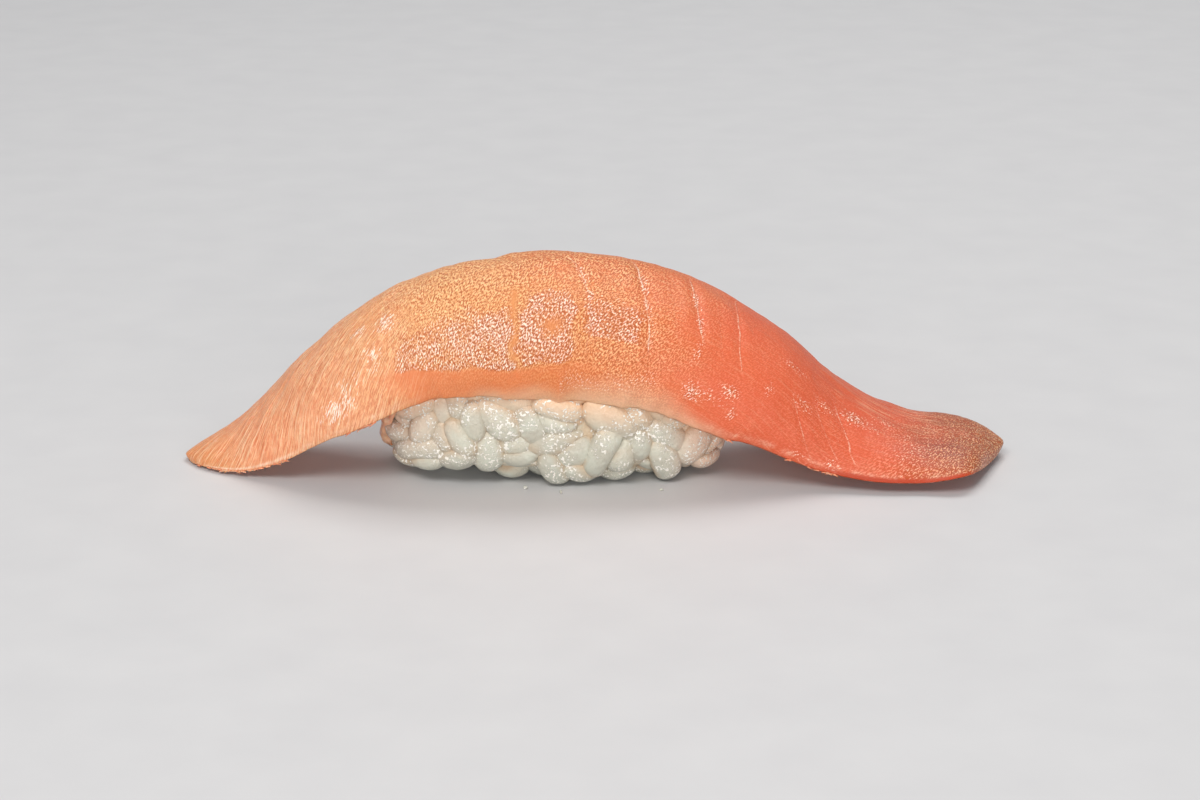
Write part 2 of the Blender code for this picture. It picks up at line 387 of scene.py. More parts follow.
def bent_sheet(share, across, front_wander=0.0, back_wander=0.0):
    """The bent sheet as functions of two parameters: a share along the crest, and across, from
    -1 at the front edge over the crest at 0 to 1 at the back edge. The under face goes out by
    the sum of the turn's cosine and down by the sum of its sine. Returns a function that gives
    the points at an offset above the under face, and the sheet's thickness at each point."""
    row = sections_at(share)
    row = row._replace(near=row.near * (1 + front_wander), far=row.far * (1 + back_wander))
    climb = np.arctan2(np.gradient(row.z, share), np.gradient(row.x, share))[:, None]
    outward = np.linspace(0, 1, BEND_STEPS)
    near_turn = np.radians(row.near_drop)[:, None] * np.minimum(outward / SHOULDER, 1)
    far_turn = np.radians(row.far_drop)[:, None] * outward
    side = np.where(across < 0, -1, 1)
    picked = np.abs(across) * (BEND_STEPS - 1)
    low = np.minimum(picked.astype(int), BEND_STEPS - 2)

    def at_columns(near_values, far_values):
        before = np.where(side < 0, near_values[:, low], far_values[:, low])
        after = np.where(side < 0, near_values[:, low + 1], far_values[:, low + 1])
        return before + (after - before) * (picked - low)

    near_step, far_step = (reach[:, None] / (BEND_STEPS - 1) for reach in (row.near, row.far))
    out = at_columns(near_step * added_up(np.cos(near_turn)), far_step * added_up(np.cos(far_turn)))
    down = at_columns(near_step * added_up(np.sin(near_turn)), far_step * added_up(np.sin(far_turn)))
    turn = at_columns(near_turn, far_turn)
    thickness = row.thickness[:, None] * (1 - np.abs(across) ** EDGE_FULLNESS) ** EDGE_WEDGE

    def points_at(offset):
        y = side * (out + offset * np.sin(turn))
        up = offset * np.cos(turn) - down - row.thickness[:, None]
        return np.stack([
            row.x[:, None] - np.sin(climb) * up,
            row.y[:, None] + y,
            row.z[:, None] + np.cos(climb) * up,
        ], axis=-1)

    return points_at, thickness


middle_at, middle_thickness = bent_sheet(np.array([0.48, 0.5, 0.52]), np.zeros(1))
print("top of the middle, mm:", middle_at(middle_thickness)[1, 0].round(1))

# %% [markdown]
# ## Maps on the slice
# Grain, seams and sparkle belong to places on the flesh, so they are laid out on a flat map of
# it: `along`, the millimetres from the left tip, and `over`, the millimetres from the crest,
# negative down the front. The grid is finest on the front, which shows most.

# %% The grid and its two map coordinates
ROWS = 470
FRONT_COLUMNS = 104
BACK_COLUMNS = 50
UNDER_COLUMNS = 46
TIP_CUT = 0.0008           # share of the length left off at each tip


def crowded_to_ends(count, crowding):
    """Shares from 0 to 1 that lie closer together near both ends."""
    even = np.linspace(0, 1, count)
    return even * (1 - crowding) + (1 - np.cos(np.pi * even)) / 2 * crowding


def out_to_edge(count):
    """Shares from 0 at the crest to 1 at the edge, closer together near the edge."""
    even = np.linspace(0, 1, count + 1)
    return even * 0.75 + np.sin(np.pi / 2 * even) * 0.25


share = TIP_CUT + (1 - 2 * TIP_CUT) * crowded_to_ends(ROWS, 0.5)
over_top = np.concatenate([-out_to_edge(FRONT_COLUMNS)[:0:-1], out_to_edge(BACK_COLUMNS)])
over_under = np.concatenate([-out_to_edge(UNDER_COLUMNS // 2)[:0:-1], out_to_edge(UNDER_COLUMNS // 2)])
crest = FRONT_COLUMNS

plain_at, plain_thickness = bent_sheet(share, over_top)
plain_top = plain_at(plain_thickness)
stride = np.linalg.norm(np.diff(plain_top[:, crest], axis=0), axis=1)
along = np.concatenate([[0], np.cumsum(stride)])[:, None] + 0 * over_top
steps_over = np.linalg.norm(np.diff(plain_top, axis=1), axis=2)
over = np.concatenate([np.zeros((ROWS, 1)), np.cumsum(steps_over, axis=1)], axis=1)
over -= over[:, crest:crest + 1]
across = np.broadcast_to(over_top, along.shape)
LENGTH = along.max()
print("crest length, mm:", LENGTH.round(1), "widest, mm:", np.ptp(over, axis=1).max().round(1))

# %% [markdown]
# ## Seams and fibres
# Tuna flesh is built of thin flakes, held together by pale seams that cross the slice. The fish
# was cut at a slant, so its fibres run at an angle: about 30 degrees on the left tail, along the
# slice in the middle, and slightly the other way on the right. `fibre` counts millimetres across
# them: the fall of the fibre line is added up along the slice and taken off `over`.

# %% Where the seams and fibres run
Seam = namedtuple("Seam", "along lean bow top bottom strength")
SEAMS = [
    Seam(57.2, 0.0, 0.0, -9.0, -22.0, -0.8),
    Seam(65.0, -0.50, -0.0148, -1.5, -18.5, 0.75),
    Seam(74.8, -0.26, 0.0, 1.0, -17.0, 1.0),
    Seam(82.8, -0.05, 0.021, 0.5, -12.5, 0.85),
    Seam(90.6, 0.05, 0.0235, 2.0, -13.5, 0.6),
    Seam(88.6, -1.20, 0.0, -12.5, -17.5, 0.45),
    Seam(95.9, -1.03, 0.0, -10.5, -16.0, 0.4),
    Seam(104.3, -0.64, 0.0, -8.0, -15.5, 0.55),
]
FAR_OFF = 50.0             # stands for "none near", in mm or in shares of a ray
SEAM_FADE = 1.5            # mm over which a seam ends
seam_gap = np.full(along.shape, FAR_OFF)
seam_strength = np.zeros(along.shape)
for number, seam in enumerate(SEAMS):
    wander = 0.18 * rolling(over / 1.6, number * 3.7, 40) + 0.3 * rolling(over / 5, number * 5.1, 41)
    gap = along - (seam.along + seam.lean * over + seam.bow * over ** 2 + wander)
    reach = ramp(seam.bottom - SEAM_FADE, seam.bottom + SEAM_FADE, over)
    reach *= fall(seam.top - SEAM_FADE, seam.top + SEAM_FADE, over)
    nearer = np.abs(gap) < np.abs(seam_gap)
    seam_gap = np.where(nearer, gap, seam_gap)
    seam_strength = np.where(nearer, seam.strength * reach, seam_strength)

fibre_slope = np.interp(along[:, 0], [0, 45, 62, 95, LENGTH], [0.62, 0.6, 0.15, 0, -0.22])
fibre_fall = np.concatenate([[0], np.cumsum(fibre_slope[1:] * np.diff(along[:, 0]))])
fibre = over - fibre_fall[:, None]
print("seams:", len(SEAMS), " fibre coordinate, mm:", fibre.min().round(1), "to", fibre.max().round(1))

# %% [markdown]
# ## Where it sparkles
# The knife leaves the flesh slightly rough. Where it is wettest, along the front shoulder, the
# roughness breaks a highlight into hundreds of dots, and these are painted into the colour as
# painted highlights: three patches parted by smooth seams, with a sharp lower limit where the
# sheet turns under. Smaller dabs lie on the tails. The wet map is 1 in those places, where the
# flesh is glossier and the painted highlights go, and `fleck` says how strongly the pale dots,
# partly painted highlights too, show anywhere else.

# %% Dabs and patches
Dab = namedtuple("Dab", "along over length height strength")
DABS = [
    Dab(37.8, -8.3, 1.4, 1.5, 1.5), Dab(33.3, -7.0, 1.1, 0.9, 0.8), Dab(33.8, -12.4, 1.6, 1.9, 0.7),
    Dab(24.8, -15.0, 3.0, 1.3, 1.1), Dab(28.5, -13.5, 2.2, 1.5, 0.4), Dab(89.0, -20.0, 1.7, 1.1, 1.0),
    Dab(94.2, -17.4, 1.6, 0.8, 0.7), Dab(99.3, -13.9, 0.8, 0.9, 0.7), Dab(96.3, -19.8, 0.6, 0.9, 0.8),
    Dab(86.8, -14.8, 0.6, 1.6, 0.7), Dab(112.6, -8.2, 2.2, 1.5, 0.75), Dab(107.9, -9.5, 1.5, 0.9, 0.6),
    Dab(117.5, -5.4, 1.9, 1.2, 0.65), Dab(91.0, -19.3, 3.5, 0.9, 0.4), Dab(105.0, -12.0, 1.7, 0.8, 0.6),
    Dab(80.5, -21.0, 1.6, 1.2, 0.35), Dab(78.8, -15.4, 0.6, 2.6, 0.5), Dab(101.5, -7.4, 2.0, 0.8, 0.4),
    Dab(108.9, -18.3, 1.2, 0.6, 0.5), Dab(112.2, -17.0, 0.9, 0.7, 0.6), Dab(115.7, -8.6, 1.2, 0.8, 0.5),
]


def patch(from_along, to_along, top, bottom, soft=0.7, fade=1.4):
    """1 inside a four-sided patch with soft, wandering sides. top and bottom are over, as arrays
    or values; the bottom is the sharp turn of the sheet, so it wanders least."""
    wide = 0.7 * rolling(along / 2.6, over / 2.6, 13) + 0.5 * rolling(along / 1.0, over / 1.0, 14)
    tall = 1.3 * rolling(along / 2.2, over / 2.2, 15) + 0.8 * rolling(along / 0.9, over / 0.9, 16)
    a = along + wide
    sides = ramp(from_along - soft, from_along + soft, a) * fall(to_along - soft, to_along + soft, a)
    lower = ramp(bottom - soft / 2, bottom + soft / 2, over + 0.25 * tall)
    return sides * lower * fall(top - fade, top + fade, over + tall)


print("dabs:", len(DABS))

# %% How wet it is
# The front shoulder, as over: the sheet turns under below it.
SHOULDER_ALONG = [30, 36, 46, 57, 68, 80, 95]
SHOULDER_OVER = [-14.5, -16.2, -19.2, -21.2, -20.6, -20.0, -19.0]
shoulder = np.interp(along, SHOULDER_ALONG, SHOULDER_OVER)
upper_limit = np.interp(along, [35.8, 43.9, 50.4, 56.3], [-14.6, -12.4, -12.2, -11.4])
# The wet map marks both where the flesh is glossier and where the painted highlight dots go.
wet = patch(36.0, 56.6, upper_limit, shoulder, 0.5) * np.interp(along, [36, 44, 56], [0.75, 0.85, 1.0])
arch = np.interp(along, [57.5, 60.0, 62.5, 65.0, 67.4], [-12.8, -10.6, -9.6, -10.2, -12.6])
wet = np.maximum(wet, patch(57.9, 67.0, arch, shoulder + 0.4, 0.45))
hollow = bump_at(np.hypot((along - 63.3) / 1.1, over + 15.2), 0, 1.5)
wet *= 1 - hollow
wet = np.maximum(wet, patch(68.6, 77.0, -11.4, -16.4, 0.6) * 0.95)
# The patches alone, before the dabs: there the flesh is painted darker, as shade between the painted
# highlights.
worn = wet.copy()
for dab in DABS:
    spread = ((along - dab.along) / dab.length) ** 2 + ((over - dab.over) / dab.height) ** 2
    wet = np.maximum(wet, dab.strength * np.exp(-spread))
beaded = (seam_strength > 0.62) * ramp(1, 6, -over) * bump_at(seam_gap, 0.15, 0.5) * (-over < 16)
wet = np.maximum(wet, beaded * (0.55 + 0.6 * rolling(over / 1.4, seam_gap / 3 + 9, 17)))
wet *= 0.85 + 0.4 * rolling(along / 1.7, over / 1.7, 11)
lip = bump_at(over, np.interp(along, [60, 78], [-24.2, -22.0]), 1.7)
lip *= ramp(62, 66, along) * fall(76, 84, along)
wet = np.maximum(wet, 0.24 * lip * (1 + rolling(along / 1.6, over / 1.2, 18)))
tip_gloss = (0.28 + 0.34 * bump_at(over, -10.5, 3.2)) * ramp(116, 125, along)
wet = np.maximum(wet, tip_gloss * (1 + 0.5 * rolling(along / 2, over / 2, 19)))
wet = np.clip(wet, 0, 1)
print("wet share:", (wet > 0.4).mean().round(3))

# %% Where it turns under, where it dried, and its dots
bruise = bump_at(along, 126, 5.5) * bump_at(over, -10.5, 4.2)
bruise *= 0.75 + 0.5 * rolling(along / 2.5, fibre / 0.7, 20)
# The band where the sheet turns under is painted a deeper orange with few dots: partly the smooth cut
# face's own colour, partly painted light, for shade where it faces down and light through the flesh.
under_band = fall(shoulder - 0.5, shoulder + 0.9, over) * ramp(30, 38, along)
band_end = ramp(55, 82, along + 4 * rolling(along / 5, over / 1.5, 20))
under_band *= 1 - 0.80 * band_end * fall(86, 104, along) - ramp(86, 104, along)
under_band = np.clip(under_band, 0, 1)
FLECK_ALONG = [0, 12, 30, 40, 60, 74, 84, 92, 114, 121, 127, LENGTH]
FLECK_STRENGTH = [0.5, 0.5, 0.65, 1, 1, 0.9, 0.5, 0.18, 0.18, 0.5, 1, 1]
fleck = np.interp(along, FLECK_ALONG, FLECK_STRENGTH)
smooth_seam = ramp(0, 0.8, -seam_strength) * bump_at(seam_gap, 0, 0.55)
fleck *= (1 - 0.80 * under_band) * (1 - smooth_seam) * (1 - 0.8 * hollow)
fleck *= 1 + 0.35 * rolling(along / 5, over / 4, 12)
fleck = np.clip(np.maximum(fleck, wet) * (1 - 0.1 * bruise), 0, 1)
print("mean strength of the dots:", fleck.mean().round(2))

# %% [markdown]
# ## Relief of the flesh
# Close up the cut face isn't flat. It rolls a little, each seam is a shallow groove between two
# slightly swollen flakes, and the fibres stand up as fine ridges. This is real relief, worked
# out as a height in millimetres at each grid point and added along the sheet's own thickness,
# so it shows in the outline too. Only what is finer than the grid is left to the material.

# %% Relief and ragged edges
CLEARANCE_ALONG = [0, 22, 32, 45, 66, 74, 84, LENGTH]     # mm along the slice
CLEARANCE = [0.3, 0.0, -0.15, 0.15, 0.2, 0.05, -0.15, 0.05]     # how far in the relief starts
FULL_RELIEF_FROM = 1.6     # mm of thickness: a thinner edge is smoother
fibrous = np.maximum(fall(30, 52, along), 0.5 * ramp(98, 112, along) * ramp(-9, -3, over))
fibrous = np.maximum(fibrous, 0.9 * fall(42, 54, along) * ramp(-4, 4, over))
relief = 0.32 * bump_at(along, 65, 6.5) - 0.18 * bump_at(along, 54.5, 2.0) * bump_at(over, 4, 5)
relief += 0.20 * rolling(along / 8.5, over / 7, 21) + 0.10 * rolling(along / 3.6, over / 3.0, 22)
relief += (0.03 + 0.07 * fibrous) * rolling(along / 12, fibre / 1.15, 23)
relief += (0.01 + 0.045 * fibrous) * rolling(along / 5, fibre / 0.55, 24)
relief += 0.030 * rolling(along / 0.75, over / 0.75, 25) * fleck
relief -= 0.22 * np.abs(seam_strength) * np.exp(-((seam_gap / 0.75) ** 2))
relief += 0.10 * np.abs(seam_strength) * np.exp(-(((np.abs(seam_gap) - 1.8) / 1.1) ** 2))
behind = ramp(2, 8, over)
relief += 0.05 * rolling(along / 1.3, over / 1.8, 38) + 0.06 * rolling(along / 2.3, 0.5, 39) * behind
relief -= np.interp(along, CLEARANCE_ALONG, CLEARANCE)

row_along = along[:, 0]
front_wander = 0.010 * rolling(row_along / 7, 0.5, 26) + 0.006 * rolling(row_along / 1.6, 0.5, 27)
front_wander += 0.004 * rolling(row_along / 0.6, 0.5, 28)
over_rice = ramp(36, 44, row_along)
front_wander += 0.022 * rolling(row_along / 2.6, 0.5, 40) * over_rice * fall(82, 90, row_along)
back_wander = 0.012 * rolling(row_along / 6, 0.5, 29) + 0.006 * rolling(row_along / 1.3, 0.5, 30)
top_at, thickness = bent_sheet(share, over_top, front_wander, back_wander)
under_at, under_thickness = bent_sheet(share, over_under, front_wander, back_wander)
relief *= np.minimum(1, thickness / FULL_RELIEF_FROM)
top_points = top_at(thickness + relief)
under_across = np.broadcast_to(over_under, under_thickness.shape)
under_along = np.broadcast_to(row_along[:, None], under_thickness.shape)
under_over = under_across * np.where(under_across < 0, -over[:, :1], over[:, -1:])
under_relief = 0.12 + 0.10 * rolling(under_along / 6, under_over / 4, 31)
under_relief += 0.03 * rolling(under_along / 9, under_over / 0.9, 32)
under_points = under_at(under_relief * np.minimum(1, under_thickness / FULL_RELIEF_FROM))
print("relief, mm:", relief.min().round(2), "to", relief.max().round(2))

# %% [markdown]
# ## From grid to closed slice
# The two faces share both long edges, so one loop of points runs over the top and back under.
# Rows of loops become one closed tube of four-sided faces, and a fan closes each tip. The maps
# travel with the points, as named attributes that the material reads.

# %% Slice mesh
TABLE_GAP = 0.1            # between the hanging tails and the table


def loop_of(top_values, under_values):
    """One loop a row: the top from front to back, then the under face from back to front. A
    last value for each tip is the mean of its loop."""
    loops = np.concatenate([top_values, under_values[:, -2:0:-1]], axis=1)
    tips = np.stack([loops[0].mean(axis=0), loops[-1].mean(axis=0)])
    return np.concatenate([loops.reshape((-1,) + loops.shape[2:]), tips])


def tube_faces(rows, around):
    """Four-sided faces between neighbouring loops, and a fan of triangles at either end."""
    index = np.arange(rows * around).reshape(rows, around)
    after = np.roll(index, -1, axis=1)
    faces = np.stack([index[:-1], index[1:], after[1:], after[:-1]], axis=-1).reshape(-1, 4).tolist()
    first, last = rows * around, rows * around + 1
    faces += [[first, a, b] for a, b in zip(index[0].tolist(), after[0].tolist())]
    faces += [[last, b, a] for a, b in zip(index[-1].tolist(), after[-1].tolist())]
    return faces


whole = loop_of(top_points, under_points)
to_box = np.array([1, slice_low[1] / whole[:, 1].min(), slice_high[2] / whole[:, 2].max()])
to_box[1] = min(to_box[1], slice_high[1] / whole[:, 1].max())
to_box = np.minimum(to_box, 1)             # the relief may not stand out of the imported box
top_points, under_points = top_points * to_box, under_points * to_box
slice_points = loop_of(top_points, under_points)
slice_points[:, 2] = np.maximum(slice_points[:, 2], TABLE_GAP)
slice_faces = tube_faces(ROWS, len(over_top) + len(over_under) - 2)
print("packed box kept by a squeeze of:", to_box.round(4))

# %% Maps on its rim and its under face
cut_edge = ramp(0.96, 0.985, -across) * ramp(108, 116, along) * fall(127, 132, along)
# A thin pale line along the near edge, broken here and there, is a painted highlight where the rounded
# edge catches the lamps.
broken_line = 0.16 + 0.50 * rolling(along / 0.7, 0.5, 35)
near_line = np.maximum(fall(33, 40, along), ramp(86, 94, along)) * broken_line
near_line = np.maximum(near_line, 1.1 * fall(11, 17, along) * ramp(2, 5, along))
edge_line = np.clip(bump_at(-across, 0.965, 0.016) * near_line, 0, 1)
under_cut = ramp(0.6, 0.95, -under_across) * ramp(108, 116, under_along)
edge_break = 0.02 * rolling(row_along / 5, 0.5, 33) + 0.005 * rolling(row_along / 1.8, 0.5, 34)
THIN_ALONG = [40, 55, 66, 74, 84, 92, 100]
THIN_FROM = [0.93, 0.90, 0.84, 0.74, 0.78, 0.88, 0.95]     # share of the way to the edge


def thin_rim(along, across):
    """Where the near rim over the rice is thin enough to let the light through."""
    out = ramp(np.interp(along, THIN_ALONG, THIN_FROM), 1.03, -across + edge_break[:, None])
    return out * ramp(42, 54, along) * fall(92, 102, along)


thin_edge = thin_rim(along, across) * (0.85 + 0.15 * rolling(along / 2.5, over / 2.0, 37))
two_faces = {              # each map: its values on top, and on the under face
    "along": (along, under_along),
    "over": (over, under_over),
    "fibre": (fibre, under_over - fibre_fall[:, None]),
    "seam_gap": (seam_gap, FAR_OFF),
    "seam_strength": (seam_strength, 0),
    "wet": (wet, 0),
    "worn": (worn, 0),
    "bruise": (np.clip(bruise, 0, 1), 0),
    "fleck": (fleck, 0.3),
    "under_band": (under_band, 1),
    "thin_edge": (thin_edge, thin_rim(under_along, under_across)),
    "fibrous": (fibrous, 0.6),
    "cut_edge": (cut_edge, under_cut),
    "edge_line": (edge_line, 0),
}
slice_maps = [(name, loop_of(on_top, np.broadcast_to(below, under_over.shape)))
              for name, (on_top, below) in two_faces.items()]
print("maps:", len(slice_maps), " thin rim share:", (thin_edge > 0.5).mean().round(3))

# %% [markdown]
# ## The look of raw tuna
# Pale tuna is see-through for a few millimetres, so light enters and comes out warmer: that is
# subsurface scattering. Its colour drifts along the slice, from yellow-peach on the left to
# coral, and to brown where the right tip has dried. Cream dots, partly the flesh's own pale grain
# and partly painted highlights, pits of painted shade and pale seams sit on top of that. The
# sparkle is painted in as highlights where it is wet, over a thin wet coat.

# %% Colours along the slice
def colour_ramp(value, stops):
    """A colour looked up by a value from 0 to 1, through stops of a place and an sRGB colour."""
    found = lay(value.tree, "ValToRGB", i0=value)
    elements = found.socket.node.color_ramp.elements
    elements.remove(elements[-1])
    elements[0].position, elements[0].color = stops[0][0], srgb(*stops[0][1:])
    for where, *colour in stops[1:]:
        elements.new(where).color = srgb(*colour)
    return found


FLESH_ALONG = [
    (0.00, 228, 150, 98), (0.08, 236, 156, 114), (0.20, 238, 165, 122), (0.34, 234, 164, 108),
    (0.43, 226, 144, 84), (0.50, 222, 124, 64), (0.60, 222, 112, 68), (0.68, 224, 102, 66),
    (0.78, 216, 94, 60), (0.87, 218, 93, 60), (0.905, 200, 84, 50), (0.94, 154, 66, 40),
    (1.00, 142, 72, 38),
]
# Colours of the pale dots, partly the flesh's grain and partly painted highlights.
DOTS_ALONG = [(0.0, 255, 208, 166), (0.35, 252, 216, 162), (0.55, 248, 198, 144),
              (0.70, 255, 182, 146), (0.90, 252, 176, 142), (0.97, 250, 196, 150)]
# Colours of the painted highlights: the sparkle in wet places.
SHINE_ALONG = [(0.0, 255, 244, 224), (0.55, 255, 236, 222), (0.84, 255, 222, 204),
               (0.92, 236, 172, 130)]
tuna_finish, shader, tree, place = new_finish("tuna_flesh")
place = in_mm(place)
SliceMaps = namedtuple("SliceMaps", [name for name, _ in slice_maps])
on = SliceMaps(*(read_map(tree, name) for name in SliceMaps._fields))

drift = noise(place, 0.16, 3.0).do("MULTIPLY_ADD", 0.10, -0.05)
length_share = on.along.do("MULTIPLY_ADD", 1 / LENGTH, drift)
flesh = colour_ramp(length_share, FLESH_ALONG)
# Painted in part: the turned-under band is a deeper orange, partly its own colour and partly painted
# shade and light through the flesh.
flesh = mix(on.under_band * 0.75, flesh, srgb(228, 122, 72))
on_crest = remap(on.over, -12.0, 1.0) * remap(on.along, 54.0, 64.0)
on_crest = on_crest * remap(on.along, 84.0, 74.0, 0.0, 0.55)
flesh = mix(on_crest, flesh, srgb(220, 96, 44))
print("maps that the finish reads:", SliceMaps._fields)

# %% Fibres
FIBRE_MARK = (7.0, 0.26)   # length and width, mm
grain_place = lay(tree, "CombineXYZ", X=on.along, Y=on.fibre)


def drawn_out(place, length, width, turn=0.0):
    """A place scaled so that noise of scale 1 makes marks of about that length and width, mm."""
    turned = {"Rotation": (0, 0, turn), "Scale": (length, width, 1.0)}
    return lay(place.tree, "Mapping", {"vector_type": "TEXTURE"}, Vector=place, **turned)


fibres = noise(drawn_out(grain_place, *FIBRE_MARK), 1.0, 3.0, 0.55)
fibre_share = remap(on.fibrous, 0.0, 1.0, 0.10, 0.72) * remap(on.under_band, 0.0, 1.0, 1.0, 0.3)
flesh = mix(remap(fibres, 0.53, 0.63) * fibre_share, flesh, srgb(254, 210, 170))
flesh = mix(remap(fibres, 0.46, 0.34) * fibre_share, flesh, srgb(210, 118, 78))
print("fibre marks, mm:", FIBRE_MARK)

# %% Dots and pits
# The pale dots are partly the flesh's own grain and partly painted highlights of its rough wet face;
# the pits between them are painted shade.
DOT_MARK = (0.40, 0.21)
DASH_MARK = (1.2, 0.21)    # on the fibrous tails the dots run along the fibres
DOT_SLANT = radians(55)
past_shoulder = (on.over + 8.0).do("MAXIMUM", 0.0)
spread = past_shoulder.do("MULTIPLY_ADD", -0.33, on.over)
skin_place = lay(tree, "CombineXYZ", X=on.along, Y=spread)
round_dots = noise(drawn_out(skin_place, *DOT_MARK, DOT_SLANT), 1.0, 2.0, 0.62)
dashes = noise(drawn_out(grain_place, *DASH_MARK), 1.0, 2.0, 0.6)
dots = mix(on.fibrous * 0.8, round_dots, dashes, "FLOAT")
broken = noise(place, 0.5)
dot_share = remap(dots, 0.51, 0.57) * on.fleck * remap(broken, 0.25, 0.65, 0.60, 0.95)
dot_share = dot_share * remap(on.fibrous, 0.0, 1.0, 1.0, 0.8)
pit_share = remap(dots, 0.50, 0.43, 0.0, 0.95) * on.fleck * remap(on.fibrous, 0.0, 1.0, 1.0, 0.5)
flesh = mix(pit_share, flesh, srgb(186, 94, 48))
flesh = mix(dot_share, flesh, colour_ramp(length_share, DOTS_ALONG))
flesh = mix(on.bruise * 0.6, flesh, srgb(142, 66, 54))
print("dots and dashes, mm:", DOT_MARK, DASH_MARK)

# %% Wet sparkle
# Painted shade: inside the sparkle patches the flesh is painted darker, and the pits between the dots
# deeper.
flesh = mix(on.worn * 0.25, flesh, srgb(206, 108, 62))
flesh = mix(remap(dots, 0.51, 0.45) * on.worn * 0.65, flesh, srgb(176, 88, 44))
# Painted highlight: where it is wet, the raised dots are painted in the pale colours of the sparkle.
raised = dots + on.wet.do("MULTIPLY_ADD", 0.11, -0.10) + on.fibrous * 0.035
shine_share = remap(raised, 0.53, 0.565) * remap(on.wet, 0.02, 0.2) * 0.92
flesh = mix(shine_share, flesh, colour_ramp(length_share, SHINE_ALONG))
print("tones of the sparkle:", len(SHINE_ALONG))

# %% Seams and edges
seam_line = remap(on.seam_gap.do("ABSOLUTE"), 0.16, 0.05)
seam_share = seam_line * on.seam_strength.do("MAXIMUM", 0.0) * remap(dots, 0.42, 0.56, 0.15, 0.95)
seam_share = seam_share * remap(broken, 0.38, 0.52, 0.25, 1.0)
flesh = mix(seam_share, flesh, srgb(255, 222, 196))
flesh = mix(on.thin_edge * 0.8, flesh, srgb(238, 200, 165))
# Painted highlight: the thin pale line along the near edge.
flesh = mix(on.edge_line * remap(dots, 0.40, 0.56, 0.3, 0.9), flesh, srgb(255, 214, 184))
flesh = mix(on.cut_edge, flesh, srgb(188, 68, 38))
print("nodes so far:", len(tree.nodes))

# %% Relief, wetness and light
grit = noise(place, 2.7, 3.0, 0.7) * remap(on.wet, 0.0, 0.8, 0.030, 0.12)
tilted = bump(grit + fibres * 0.10 + seam_line * (on.seam_strength * 0.05), MM)
fill(shader, Base_Color=flesh, Normal=tilted, Coat_Normal=tilted,
     Roughness=remap(on.wet, 0.0, 0.8, 0.50, 0.30), Specular_IOR_Level=0.25,
     Coat_Weight=0.08, Coat_Roughness=0.14, Subsurface_Weight=0.15,
     Subsurface_Radius=(1.0, 0.32, 0.15), Subsurface_Scale=0.0022)
tuna_slice = add_piece("nigiri_slice", slice_points, slice_faces, tuna_finish, slice_maps)
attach(tuna_slice, "root")
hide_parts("tuna_slice")

# %% [markdown]
# ## Frayed edges
# Where the knife left the soft flesh, thin shreds hang from the near edge of both tails. Each
# is a tapered sliver: rings of points round a line that starts inside the edge, runs beside it
# and droops. All shreds are worked out together, as one array with a place for every shred, ring
# and point of a ring.

# %% Shreds
Fringe = namedtuple("Fringe", "start end count longest palest")
FRINGES = [
    Fringe(1.5, 5.0, 6, 0.9, 0.35),
    Fringe(5.0, 12.5, 16, 1.2, 1.0),
    Fringe(23.0, 27.5, 7, 1.1, 0.6),
    Fringe(96.0, 99.5, 3, 0.7, 0.4),
    Fringe(108.0, 115.0, 8, 1.0, 0.45),
]
SHRED_RINGS = 8
SHRED_AROUND = 6
SHRED_ROOT = 0.3           # share of its length that a shred starts inside the edge
SHRED_GAP = 0.06           # between a shred and the table, mm

shred_draw = np.random.default_rng(31)
each = Fringe(*np.repeat(np.array(FRINGES), [fringe.count for fringe in FRINGES], axis=0).T)
shred_count = len(each.start)
rooted = shred_draw.uniform(each.start, each.end)
shred_length = each.longest * shred_draw.uniform(0.45, 1.0, shred_count)
near_edge = top_points[:, 0]


def on_edge(place):
    """The near edge's point at a distance along the slice."""
    return np.stack([np.interp(place, row_along, near_edge[:, k]) for k in range(3)], axis=1)


heading = unit(on_edge(rooted + 0.5) - on_edge(rooted - 0.5))
way = shred_draw.choice([-1, 1], shred_count)[:, None]
outward = np.array([0, -1.0, -0.35]) * shred_draw.uniform(0.05, 0.30, shred_count)[:, None]
direction = unit(heading * way + outward)
ring_share = np.linspace(-SHRED_ROOT, 1, SHRED_RINGS)
wiggle = shred_draw.uniform(-0.12, 0.12, (shred_count, 1, 3))
line = on_edge(rooted)[:, None] + direction[:, None] * (shred_length[:, None] * ring_share)[..., None]
line += (wiggle - [0, 0, 0.18]) * (shred_length[:, None] * ring_share ** 2)[..., None]
flat_side = unit(np.cross(direction, [0.0, 0.4, 1.0]))
thick_side = np.cross(flat_side, direction)
half_width = shred_draw.uniform(0.16, 0.32, shred_count)[:, None] * np.sqrt(1.02 - ring_share)
turns = np.linspace(0, 2 * np.pi, SHRED_AROUND, endpoint=False)
ring = flat_side[:, None, None] * np.cos(turns)[:, None]
ring = ring + 0.5 * thick_side[:, None, None] * np.sin(turns)[:, None]
shred_points = line[:, :, None] + ring * half_width[..., None, None]
shred_tips = line[:, [0, -1]]
shred_points = np.concatenate([shred_points.reshape(shred_count, -1, 3), shred_tips], axis=1)
shred_points[..., 2] = np.maximum(shred_points[..., 2], SHRED_GAP)
one_shred = tube_faces(SHRED_RINGS, SHRED_AROUND)
per_shred = shred_points.shape[1]
shred_faces = [[corner + number * per_shred for corner in face]
               for number in range(shred_count) for face in one_shred]
print("shreds:", shred_count)

